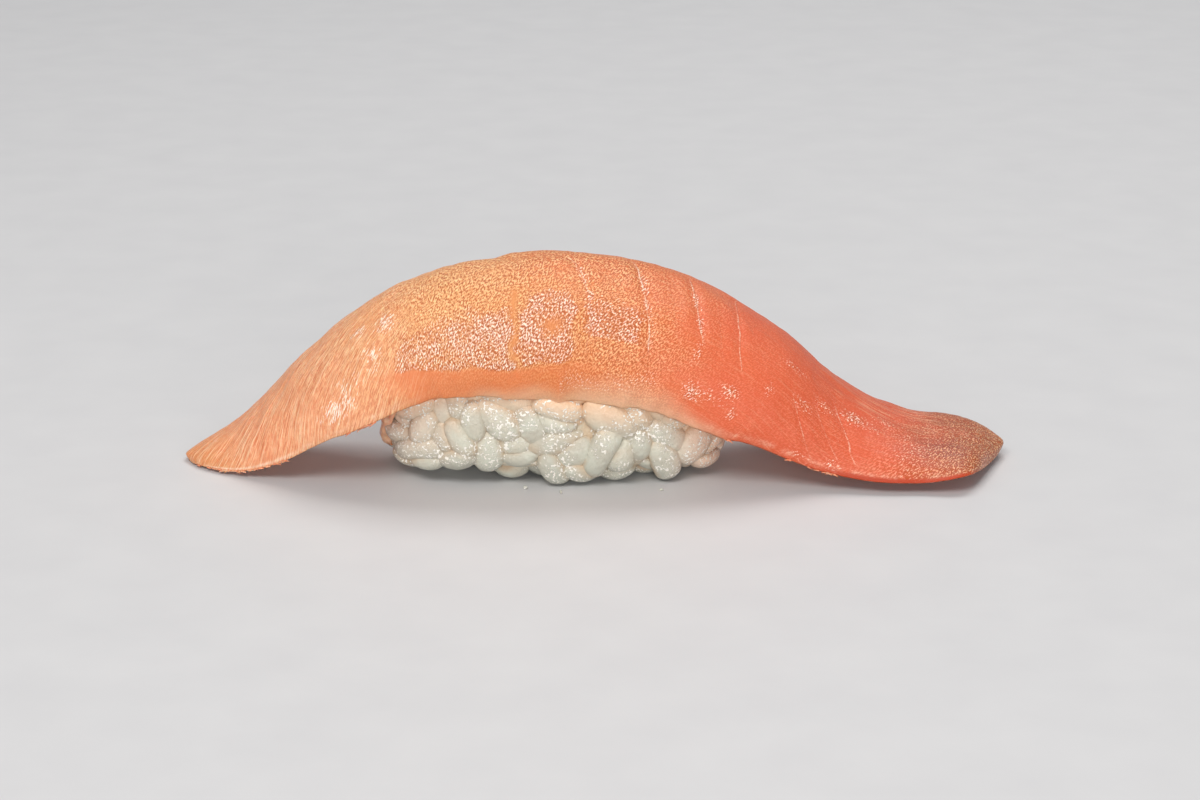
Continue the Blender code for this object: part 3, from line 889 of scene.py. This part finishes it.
# %% Shred finish
shred_finish, shader, tree, place = new_finish("tuna_shreds")
mottle = noise(place, 1800.0)
shred_colour = mix(read_map(tree, "pale"), srgb(222, 112, 72), srgb(248, 190, 150))
shred_colour = mix(remap(mottle, 0.45, 0.65, 0.0, 0.5), shred_colour, srgb(240, 160, 118))
fill(shader, Base_Color=shred_colour, Roughness=remap(mottle, 0.4, 0.6, 0.35, 0.5), Coat_Weight=0.3,
     Subsurface_Weight=0.3, Subsurface_Radius=(1.0, 0.4, 0.2), Subsurface_Scale=0.0005)
pale = each.palest * shred_draw.uniform(0.3, 1.0, shred_count)
shreds = add_piece("nigiri_shreds", shred_points, shred_faces, shred_finish,
                   [("pale", np.repeat(pale, per_shred))])
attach(shreds, "root")
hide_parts("tuna_slice")

# %% [markdown]
# ## The rice pad
# The cook presses a handful of cooked rice into an oval pad. Its outline is a boxy ellipsoid:
# each coordinate over its half size, to the power 2.6, adds up to 1. Only the outer layer of
# grains is ever seen, so real grains are packed in that layer and a plain smaller core fills the
# rest. A particle system would scatter grains without squeezing them; here they are settled with
# a small relaxation, so they push each other apart and end up side by side.

# %% Pad outline
PAD_SQUARENESS = 2.6
PAD_WAIST_HEIGHT = 10.0
PAD_CROWN_HEIGHT = 27.0
PAD_BASE_DEPTH = 18.0      # how far under the waist the rounding would end, past the flat base
pad_reach = (pad_high - pad_low)[:2] / 2 - 0.1


def half_height(above_waist):
    """The pad's half height: one above its waist, and another below it."""
    return np.where(above_waist > 0, PAD_CROWN_HEIGHT - PAD_WAIST_HEIGHT, PAD_BASE_DEPTH)


def depth_in_pad(points):
    """How deep points lie inside the boxy ellipsoid, and the way out: the level of the formula,
    less than 1 inside, divided by the length of its own slope."""
    offset = points - [0, 0, PAD_WAIST_HEIGHT]
    up = half_height(offset[..., 2])
    half = np.stack([np.full_like(up, pad_reach[0]), np.full_like(up, pad_reach[1]), up], axis=-1)
    scaled = np.abs(offset / half)
    level = (scaled ** PAD_SQUARENESS).sum(axis=-1) ** (1 / PAD_SQUARENESS) + 1e-9
    rise = np.sign(offset) * scaled ** (PAD_SQUARENESS - 1) / half
    rise *= level[..., None] ** (1 - PAD_SQUARENESS)
    steepness = np.linalg.norm(rise, axis=-1) + 1e-9
    return (1 - level) / steepness, rise / steepness[..., None]


print("pad half sizes, mm:", pad_reach.round(1))

# %% Underside of the slice
CEILING_STEP = 0.4         # mm between the rays that are cast up to the slice
OPEN_AIR = 99.0            # the height where a ray meets nothing
ceiling_x = np.arange(-32, 32, CEILING_STEP)      # wider than the pad
ceiling_y = np.arange(-16, 18, CEILING_STEP)
slice_tree = BVHTree.FromPolygons((slice_points * MM).tolist(), slice_faces)
hits = [[slice_tree.ray_cast(Vector((x * MM, y * MM, -MM)), Vector((0, 0, 1)))[0]
         for y in ceiling_y] for x in ceiling_x]
ceiling = np.array([[OPEN_AIR if hit is None else hit.z / MM for hit in row] for row in hits])


def ceiling_over(points):
    """Height of the slice's underside over each point, or open air: the four nearest samples
    are blended, and where one is open the lowest counts, so the slice's edge is kept clear."""
    i = np.clip((points[..., 0] - ceiling_x[0]) / CEILING_STEP, 0, len(ceiling_x) - 1.001)
    j = np.clip((points[..., 1] - ceiling_y[0]) / CEILING_STEP, 0, len(ceiling_y) - 1.001)
    a, b = i.astype(int), j.astype(int)
    corners = np.stack([ceiling[a, b], ceiling[a + 1, b], ceiling[a, b + 1], ceiling[a + 1, b + 1]])
    u, v = i - a, j - b
    blended = (corners * [(1 - u) * (1 - v), u * (1 - v), (1 - u) * v, u * v]).sum(axis=0)
    return np.where(corners.max(axis=0) > OPEN_AIR - 1, corners.min(axis=0), blended)


def edge_height(x, column):
    """Height of the slice's edge at x. Column 0 is the front edge, and -1 the back one."""
    return np.interp(x, top_points[:, column, 0], top_points[:, column, 2])


print("slice underside over the pad's middle, mm:", ceiling_over(np.zeros(3)).round(1))

# %% [markdown]
# ## Packing the grains
# While they settle, a grain is three balls in a row, which is enough to feel its neighbours.
# In each step, balls that overlap push each other apart, balls outside the pad, through the
# table or through the slice are put back, and balls too deep inside are drawn out to the
# surface. Then each grain is straightened again. The draws are seeded, so it packs the same
# way every time.

# %% Throw in the grains
GRAIN_COUNT = 210
GRAIN_BALL = 2.35          # radius of a grain's middle ball
GRAIN_SPAN = 2.30          # from the middle ball to an end ball
LAYER_DEPTH = 3.3          # no ball's centre lies deeper than this under the surface
START_DEPTH = 0.8          # nor does it start nearer the surface than this
LOWEST = 1.2               # mm: the slice presses no ball's centre lower than this

draw = np.random.default_rng(12)
tries = draw.uniform([-25, -11.5, LOWEST], [25, 11.5, 24], (60000, 3))
try_inside = depth_in_pad(tries)[0]
fits = (try_inside > START_DEPTH) & (np.minimum(try_inside, tries[:, 2]) < LAYER_DEPTH)
fits &= tries[:, 2] < ceiling_over(tries) - LOWEST
centre = tries[fits][:GRAIN_COUNT]
axis = unit(draw.normal(size=(GRAIN_COUNT, 3)))
size = draw.uniform(0.72, 1.24, GRAIN_COUNT)
span = GRAIN_SPAN * size * draw.uniform(0.9, 1.12, GRAIN_COUNT)
ball = GRAIN_BALL * size[:, None] * [0.9, 1.0, 0.9]
foot = np.clip(draw.uniform(-1.5, 3.0, GRAIN_COUNT), 0, None)[:, None]     # a ragged lower rim
print("grains thrown in:", len(centre), " longest span, mm:", span.max().round(2))

# %% Settle the grains
SETTLE_STEPS = 170
SEARCH_EVERY = 8           # steps between searches for neighbours
SEARCH_RANGE = 9.5         # mm between the middles of grains that may touch
SQUEEZE = 0.70             # cooked grains give: contact at this share of the two radii
PUSH_SHARE = 0.32          # share of an overlap that one step takes away
LONGEST_PUSH = 0.6
PAD_MARGIN = 0.92          # radii that a ball's centre keeps inside the pad
FLAT_MARGIN = 0.9          # radii that it keeps from the table and from the slice
places_of_three = np.array([[-1], [0], [1]])

for step in range(SETTLE_STEPS):
    balls = centre[:, None] + axis[:, None] * span[:, None, None] * places_of_three
    if step % SEARCH_EVERY == 0:
        apart = np.linalg.norm(centre[:, None] - centre[None], axis=-1)
        one, two = np.nonzero(np.triu(apart < SEARCH_RANGE, 1))
    gap = balls[one][:, :, None] - balls[two][:, None, :]
    distance = np.linalg.norm(gap, axis=-1) + 1e-9
    touch = (ball[one][:, :, None] + ball[two][:, None, :]) * SQUEEZE
    overlap = np.clip(touch - distance, 0, None)
    push = gap / distance[..., None] * (overlap * PUSH_SHARE)[..., None]
    moved = np.zeros_like(balls)
    np.add.at(moved, one, push.sum(axis=2))
    np.add.at(moved, two, -push.sum(axis=1))
    balls = balls + np.clip(moved, -LONGEST_PUSH, LONGEST_PUSH)
    depth, outward = depth_in_pad(balls)
    balls -= outward * np.clip(ball * PAD_MARGIN - depth, 0, None)[..., None]
    deep = np.clip(np.minimum(depth, balls[..., 2]) - LAYER_DEPTH, 0, 0.5)
    balls += outward * deep[..., None]
    balls[..., 2] = np.maximum(balls[..., 2], ball * FLAT_MARGIN + foot)
    under_slice = np.maximum(ceiling_over(balls) - ball * FLAT_MARGIN, LOWEST)
    balls[..., 2] = np.minimum(balls[..., 2], under_slice)
    centre = balls.mean(axis=1)
    axis = unit(balls[:, 2] - balls[:, 0])
print("grains settled:", len(centre), " mean overlap, mm:", overlap.mean().round(3))

# %% [markdown]
# ## Pressing the grains together
# Each grain starts as a slightly boxy ellipsoid, about half as long again as it is wide. Pressed
# rice has no holes: neighbours flatten against each other along a crease. For every point of a
# grain, the line from its middle outwards is cut where it is as deep in the neighbour as in the
# grain itself, which is one quadratic equation a neighbour. A soft minimum of all the cuts rounds
# the crease. A cage of 54 faces and one level of subdivision is enough for a plump grain.

# %% Grain cage
CAGE_CUTS = 3


def cube_sphere(cuts):
    """A unit ball with square faces: each side of a cube is a grid, its coordinates are spread
    evenly by angle, and every point is brought to length 1. Shared points are merged."""
    even = np.tan(np.linspace(-np.pi / 4, np.pi / 4, cuts + 1))
    u, v = np.meshgrid(even, even, indexing="ij")
    corners = np.arange((cuts + 1) ** 2).reshape(cuts + 1, cuts + 1)
    quads = np.stack([corners[:-1, :-1], corners[1:, :-1], corners[1:, 1:], corners[:-1, 1:]], axis=-1)
    points, faces = [], []
    for axis_number in range(3):
        for sign in (-1, 1):
            side = np.stack([sign * np.ones_like(u), u, v * sign], axis=-1)
            points.append(np.roll(side, axis_number, axis=-1).reshape(-1, 3))
            faces.append(quads.reshape(-1, 4) + len(faces) * corners.size)
    points = unit(np.concatenate(points))
    unique, merged = np.unique(points.round(6), axis=0, return_inverse=True)
    return unit(unique), merged.ravel()[np.concatenate(faces)]


ball_points, ball_faces = cube_sphere(CAGE_CUTS)
middle_of_face = ball_points[ball_faces].mean(axis=1)
edge_one = ball_points[ball_faces[:, 1]] - ball_points[ball_faces[:, 0]]
edge_two = ball_points[ball_faces[:, 3]] - ball_points[ball_faces[:, 0]]
turned_in = (np.cross(edge_one, edge_two) * middle_of_face).sum(axis=1) < 0
ball_faces[turned_in] = ball_faces[turned_in][:, ::-1]
print("grain cage:", len(ball_points), "points", len(ball_faces), "faces")

# %% Cut every grain against its neighbours
GRAIN_SQUARENESS = 2.4
NEIGHBOURS = 22
WIDTH = 1.5                # half width of a whole grain, in radii of its balls
THICKNESS = 1.3            # and its half thickness
half_sizes = np.stack([span + ball[:, 0] * WIDTH, ball[:, 1] * WIDTH, ball[:, 1] * THICKNESS], axis=1)
second = unit(np.cross(axis, draw.normal(size=axis.shape)))
grain_axes = np.stack([axis, second, np.cross(axis, second)], axis=1)
shape_of = np.einsum("gki,gk,gkj->gij", grain_axes, half_sizes ** -2.0, grain_axes)

boxy = (np.abs(ball_points) ** GRAIN_SQUARENESS).sum(axis=1) ** (-1 / GRAIN_SQUARENESS)
rays = np.einsum("pk,gk,gki->gpi", ball_points * boxy[:, None], half_sizes, grain_axes)
apart = np.linalg.norm(centre[:, None] - centre[None], axis=-1)
nearest = np.argsort(apart, axis=1)[:, 1:NEIGHBOURS + 1]
offset = centre[:, None] - centre[nearest]
other = shape_of[nearest]
own_rise = np.einsum("gpi,gij,gpj->gp", rays, shape_of, rays)
other_rise = np.einsum("gpi,gnij,gpj->gpn", rays, other, rays)
lean = np.einsum("gpi,gnij,gnj->gpn", rays, other, offset)
level = np.einsum("gni,gnij,gnj->gn", offset, other, offset)[:, None]
rise = own_rise[..., None] - other_rise
root = lean ** 2 + rise * level
below = -lean + np.sqrt(np.maximum(root, 0))
cut = np.where((root > 0) & (below > 1e-6), level / np.maximum(below, 1e-6), FAR_OFF)
print("share of rays that a neighbour cuts:", (cut.min(axis=-1) < 1).mean().round(2))

# %% Cut it by the table, the slice and the pad's surface
CREASE_SHARPNESS = 28      # higher keeps the flats flatter and the creases tighter
OVERLAP = 1.36             # grains run into each other by this much, so creases stay thin
SWELL_LEAST, SWELL_MOST = -0.40, 0.60      # how far a grain's middle stands out of the pad
DOME = 0.50                # how far its outer face falls away at the edge of the full grain
BELLY = 0.15               # how fast a grain's underside curves up from its foot, a mm
SLICE_GAP = 0.06           # mm left between a grain and the slice
tested = np.linspace(0.04, 1.2, 40)        # shares of each ray's length
walked = centre[:, None, None] + rays[:, :, None] * tested[:, None]


def first_crossing(room):
    """Where along each tested ray the room left first falls to 0, between two tested places."""
    shut = room < 0
    after = np.maximum(shut.argmax(axis=-1), 1)[..., None]
    room_after, room_before = (np.take_along_axis(room, after - k, -1)[..., 0] for k in (0, 1))
    part = np.clip(room_before / np.maximum(room_before - room_after, 1e-6), 0, 1)
    found = tested[after[..., 0] - 1] + part * (tested[1] - tested[0])
    return np.where(shut.any(axis=-1), found, FAR_OFF)


belly = BELLY * ((walked[..., :2] - centre[:, None, None, :2]) ** 2).sum(axis=-1)
table_cut = first_crossing(walked[..., 2] - foot[..., None] - belly)
outward = depth_in_pad(centre)[1]
sideways = walked - centre[:, None, None]
sideways -= (sideways * outward[:, None, None]).sum(axis=-1)[..., None] * outward[:, None, None]
off_middle = np.einsum("gpti,gij,gptj->gpt", sideways, shape_of, sideways)
swell = draw.uniform(SWELL_LEAST, SWELL_MOST, GRAIN_COUNT)
swell += 0.35 * rolling(centre[:, 0] / 6, centre[:, 2] / 6 + centre[:, 1] / 9, 52)
slice_cut = first_crossing(ceiling_over(walked) - SLICE_GAP - walked[..., 2])
pad_cut = first_crossing(depth_in_pad(walked)[0] + swell[:, None, None] - DOME * off_middle)
walls = np.stack([table_cut, slice_cut, pad_cut], axis=-1)
cuts = np.concatenate([cut * OVERLAP, walls], axis=-1)
crease = ramp(0.70, 1.15, walls.min(axis=-1) / (cut.min(axis=-1) * OVERLAP))
soft_sum = (np.clip(cuts, 0.05, FAR_OFF) ** -CREASE_SHARPNESS).sum(axis=-1)
kept_share = (1 + soft_sum) ** (-1 / CREASE_SHARPNESS)
grain_points = centre[:, None] + rays * kept_share[..., None]
grain_points[..., 2] = np.maximum(grain_points[..., 2], 0.0)
print("kept of each ray, on average:", kept_share.mean().round(2))

# %% Leave out hidden grains
# Grains that lie well above the nearer edge of the slice are hidden, so they aren't made.
HIDDEN_ABOVE = 3.6         # mm above that edge
HIDDEN_REACH = 17          # mm from the middle: further out the tails part from the rice
nearer_edge = np.where(centre[:, 1] < 0, edge_height(centre[:, 0], 0), edge_height(centre[:, 0], -1))
covered = (centre[:, 2] - HIDDEN_ABOVE > nearer_edge) & (np.abs(centre[:, 0]) < HIDDEN_REACH)
shown = np.nonzero(~covered)[0]
print("grains that show:", len(shown), "of", len(centre))

# %% [markdown]
# ## The look of cooked rice
# Cooked rice is milky: light sinks in and comes back nearly white, a little greener in patches.
# Towards the table it is painted darker and greyer as shade, and in the creases between grains it
# is painted tan as shade. Near the fish, and at both ends under its tails, it is painted peach and
# pinkish tan, for the light that comes through and off the fish. Each grain gets its own tone,
# and tiny wet glints are painted in as highlights.

# %% Rice finish
def rice_finish(name, light, dark):
    """A milky, slightly wet material between two tones, read from the maps on the grains."""
    made, shader, tree, place = new_finish(name)
    place = in_mm(place)
    colour = mix(read_map(tree, "tone"), dark, light)
    colour = mix(remap(noise(place, 0.35, 3.0), 0.42, 0.62, 0.0, 0.6), colour, srgb(208, 211, 196))
    # Painted shade: darker and greyer towards the table.
    colour = mix(read_map(tree, "low") * 0.85, colour, srgb(190, 191, 178))
    # Painted light from the fish: a pinkish tan at both ends, under the slice's tails.
    colour = mix(read_map(tree, "near_end"), colour, srgb(230, 199, 176))
    # Painted shade: tan in the creases between grains.
    creased = read_map(tree, "crease_shade") * remap(noise(place, 0.22, 1.0), 0.42, 0.58, 0.15, 0.85)
    colour = mix(creased, colour, srgb(206, 178, 146))
    # Painted light from the fish: a peach tint under the slice's front edge.
    colour = mix(read_map(tree, "near_fish"), colour, srgb(246, 198, 156))
    # Painted highlights: tiny white glints, which are also glossier and raised by the bump.
    glint = remap(noise(place, 2.9, 1.0), 0.565, 0.60) * remap(noise(place, 0.30), 0.47, 0.52)
    colour = mix(glint, colour, srgb(255, 250, 240))
    tilted = bump(glint.do("MULTIPLY_ADD", 0.10, noise(place, 1.1, 3.0, 0.7) * 0.26), MM)
    fill(shader, Base_Color=colour, Normal=tilted, Coat_Normal=tilted,
         Roughness=remap(glint, 0.0, 1.0, 0.42, 0.16), Specular_IOR_Level=0.25,
         Coat_Weight=0.45, Coat_Roughness=0.08, Subsurface_Weight=0.1,
         Subsurface_Radius=(1.0, 0.9, 0.75), Subsurface_Scale=0.0005)
    return made


grain_finish = rice_finish("cooked_rice", srgb(206, 201, 184), srgb(190, 186, 171))
# The core is painted darker and warmer than the grains, as shade in the gaps between them.
core_finish = rice_finish("rice_inside", srgb(208, 190, 162), srgb(198, 178, 150))
print("rice finishes:", grain_finish.name, core_finish.name)

# %% Grains and crumbs as one mesh
per_grain = len(ball_points)
CRUMBS = np.array([[-3.9, -10.9, 0.28], [1.1, -12.85, 0.30], [15.2, -11.6, 0.22]])
CRUMB_HALF_SIZES = np.array([[0.34, 0.16, 0.26], [0.20, 0.18, 0.30], [0.30, 0.15, 0.20]])
crumb_points = CRUMBS[:, None] + ball_points * CRUMB_HALF_SIZES[:, None]
shown_points = np.concatenate([grain_points[shown], crumb_points])
piece_count = len(shown_points)
grain_faces = ball_faces[None] + (np.arange(piece_count) * per_grain)[:, None, None]
grain_faces = grain_faces.reshape(-1, 4).tolist()
x, z = shown_points[..., 0], shown_points[..., 2]
# Painted light and shade on the rice: a peach tint near the slice's front edge and a pinkish tan at
# both ends, for the light through and off the fish, and darker towards the table, as shade.
melt = 1.0 + 0.8 * bump_at(x, 7.0, 6.0)
near_fish = ramp(-3.0 * melt, 0.4, z - edge_height(x, 0)) * 0.7
near_end = 0.7 * fall(-22, -12, x) * ramp(1, 10, z) + 0.95 * ramp(15, 22, x)
grain_maps = [
    ("tone", np.repeat(draw.uniform(0, 1, piece_count), per_grain)),
    ("crease_shade", np.concatenate([crease[shown], np.zeros(crumb_points.shape[:2])])),
    ("near_fish", near_fish),
    ("near_end", near_end),
    ("low", fall(0.5, 6.5, z)),
]
rice_grains = add_piece("nigiri_rice_grains", shown_points, grain_faces, grain_finish, grain_maps)
rounding = rice_grains.modifiers.new("plump", "SUBSURF")
rounding.levels = rounding.render_levels = 1

# %% Core behind the grains
CORE_INSET = 1.2
CORE_FLOOR = 3.0           # the core stays off the table, behind the ragged rim
CORE_GAP = 0.6             # between the core and the slice
CORE_RINGS = 60
CORE_SEGMENTS = 64


def core_surface():
    """The pad's boxy ellipsoid, every half size made smaller by the inset, kept above the table
    and under the slice: x follows the sine of one angle, y and z the cosine of it times the
    cosine and sine of another, each to the power that squares the form."""
    lengthwise = np.linspace(-np.pi / 2, np.pi / 2, CORE_RINGS + 2)[1:-1, None]
    round_it = np.linspace(0, 2 * np.pi, CORE_SEGMENTS, endpoint=False)[None]
    power = 2 / PAD_SQUARENESS

    def squared(value):
        return np.sign(value) * np.abs(value) ** power

    up = half_height(np.sin(round_it))
    x = (pad_reach[0] - CORE_INSET) * squared(np.sin(lengthwise)) + 0 * round_it
    ring = squared(np.cos(lengthwise))
    y = (pad_reach[1] - CORE_INSET) * ring * squared(np.cos(round_it))
    z = PAD_WAIST_HEIGHT + (up - CORE_INSET) * ring * squared(np.sin(round_it))
    points = np.stack([x, y, z], axis=-1)
    uneven = rolling(lengthwise * 7, round_it * 32 / 2 / np.pi / 3, 51)
    points *= 1 + 0.05 * uneven[..., None] * [0, 1, 0]
    highest = np.maximum(ceiling_over(points) - CORE_GAP, CORE_FLOOR)
    points[..., 2] = np.clip(points[..., 2], CORE_FLOOR, highest)
    return points


core_points = core_surface()
core_tips = np.stack([core_points[0].mean(axis=0), core_points[-1].mean(axis=0)])
core_points = np.concatenate([core_points.reshape(-1, 3), core_tips])
core_faces = tube_faces(CORE_RINGS, CORE_SEGMENTS)
x, z = core_points[:, 0], core_points[:, 2]
# The core gets a little painted crease shade all over, and the painted light from the fish near the
# slice's front edge.
core_maps = [
    ("tone", np.full(len(core_points), 0.5)),
    ("crease_shade", np.full(len(core_points), 0.3)),
    ("near_fish", ramp(-3.4, 0.5, z - edge_height(x, 0)) * 0.6),
    ("near_end", np.zeros(len(core_points))),
    ("low", fall(0.5, 6.5, z)),
]
rice_core = add_piece("nigiri_rice_core", core_points, core_faces, core_finish, core_maps)

# %% [markdown]
# ## A film of fish on the rice
# At the left end a scrap of thin flesh clings to the rice, from under the slice down to a torn
# lower edge. It starts as a sheet on the pad's even outline: one parameter turns round the end of
# the pad, the other goes down it. Then it is laid on the grains: it could be a cloth simulation,
# but a ball rolled over them does the same at once. Where the ball's lowest point passes, the
# sheet lies, so it bridges the creases as a wet skin does. Solidify gives it its thickness.

# %% Film at the left end
FILM_TURNS = 44
FILM_DROPS = 30
FILM_LIFT = 0.06           # from the ball's path to the film's outer face
FILM_TUCK = 0.5            # its edges dive this far in between the grains
FILM_BALL = 1.6            # radius of the ball that is rolled over the grains
BALL_SOFTNESS = 0.1        # how gently it goes from one grain to the next
FILM_TOP = 13.0            # heights of its hidden top and of its torn lower edge, mm
FILM_LOW = 3.6
FILM_GAP = 0.15            # between the film and the slice
FILM_PRESSED_TO = 5.0      # the slice presses no point of the film below this height
UNTOUCHED = -9             # stands for a point that the ball doesn't touch
film_down = np.linspace(0, 1, FILM_DROPS)[None]
film_front = 34 - 26 * film_down ** 0.45     # degrees from the pad's long axis: it narrows
film_back = -16 + 9 * film_down ** 0.8
film_turn = np.radians(film_back + (film_front - film_back) * np.linspace(0, 1, FILM_TURNS)[:, None])
torn = 0.9 * rolling(film_turn * 9, 0.5, 61) + 0.5 * rolling(film_turn * 25, 0.5, 62)
film_z = FILM_TOP + (FILM_LOW + torn - FILM_TOP) * film_down
film_rise = film_z - PAD_WAIST_HEIGHT
left_over = 1 - (np.abs(film_rise) / half_height(film_rise)) ** PAD_SQUARENESS
plan = np.abs(np.cos(film_turn) / pad_reach[0]) ** PAD_SQUARENESS
plan += np.abs(np.sin(film_turn) / pad_reach[1]) ** PAD_SQUARENESS
reach = (left_over / plan) ** (1 / PAD_SQUARENESS)
film_points = np.stack([-np.cos(film_turn) * reach, -np.sin(film_turn) * reach, film_z], axis=-1)
way_out = depth_in_pad(film_points)[1]
print("film reaches down to, mm:", film_z.min().round(1))


# %% Roll a ball over the grains
def rolled_over(places, ways, points):
    """How far out a ball's lowest point passes over each place: the soft maximum, over the points
    less than a radius aside, of their height plus sqrt(radius^2 - aside^2) less the radius."""
    offsets = points[None] - places[:, None]
    height = (offsets * ways[:, None]).sum(axis=-1)
    room = FILM_BALL ** 2 - (offsets ** 2).sum(axis=-1) + height ** 2
    touch = np.where(room > 0, height + np.sqrt(np.maximum(room, 0)) - FILM_BALL, UNTOUCHED)
    return BALL_SOFTNESS * np.log(np.exp(touch / BALL_SOFTNESS).sum(axis=1))


end_points = shown_points[shown_points[..., 0] < film_points[..., 0].max() + FILM_BALL]
stand_out = rolled_over(film_points.reshape(-1, 3), way_out.reshape(-1, 3), end_points)
stand_out = stand_out.reshape(FILM_TURNS, FILM_DROPS)
print("film stands", stand_out.min().round(2), "to", stand_out.max().round(2), "mm out of the even pad")
from_side = np.minimum(np.arange(FILM_TURNS), np.arange(FILM_TURNS)[::-1])[:, None]
from_edge = np.minimum(from_side, np.arange(FILM_DROPS)[::-1])
stand_out += FILM_LIFT - FILM_TUCK * ramp(-3, 0, -from_edge)
film_points += way_out * stand_out[..., None]
highest = np.maximum(ceiling_over(film_points) - FILM_GAP, FILM_PRESSED_TO)
film_points[..., 2] = np.minimum(film_points[..., 2], highest)
index = np.arange(FILM_TURNS * FILM_DROPS).reshape(FILM_TURNS, FILM_DROPS)
film_faces = np.stack([index[:-1, :-1], index[:-1, 1:], index[1:, 1:], index[1:, :-1]], axis=-1)

# %% [markdown]
# ## The look of the film
# So thin a piece of flesh lets the white rice through, so it is paler than the slice, and most so
# where it hangs lowest. Its torn rim has curled up a little and looks darker.

# %% Film finish and thickness
film_finish, shader, tree, place = new_finish("tuna_film")
mottle = noise(place, 900.0, 3.0)
film_colour = mix(read_map(tree, "down"), srgb(226, 142, 102), srgb(238, 190, 156))
film_colour = mix(read_map(tree, "torn_edge"), film_colour, srgb(222, 134, 90))
film_colour = mix(remap(mottle, 0.5, 0.68, 0.0, 0.5), film_colour, srgb(250, 214, 186))
fill(shader, Base_Color=film_colour, Roughness=remap(mottle, 0.4, 0.6, 0.28, 0.42),
     Normal=bump(mottle, 0.12 * MM), Coat_Weight=0.4, Subsurface_Weight=0.4,
     Subsurface_Radius=(1.0, 0.45, 0.25), Subsurface_Scale=0.001)
down = np.broadcast_to(film_down, (FILM_TURNS, FILM_DROPS))
film_maps = [("down", down), ("torn_edge", ramp(0.88, 1.0, down))]
film = add_piece("nigiri_film", film_points, film_faces.reshape(-1, 4).tolist(), film_finish, film_maps)
film_wall = film.modifiers.new("thickness", "SOLIDIFY")
film_wall.thickness = 0.3 * MM
film_wall.offset = -1
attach(film, "root")
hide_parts("tuna_slice")

# %% Rice in place of the pad
for rice_piece in (rice_grains, rice_core):
    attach(rice_piece, "root")
    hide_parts("rice_pad")
print("the packed pad is replaced by:", rice_grains.name, rice_core.name)
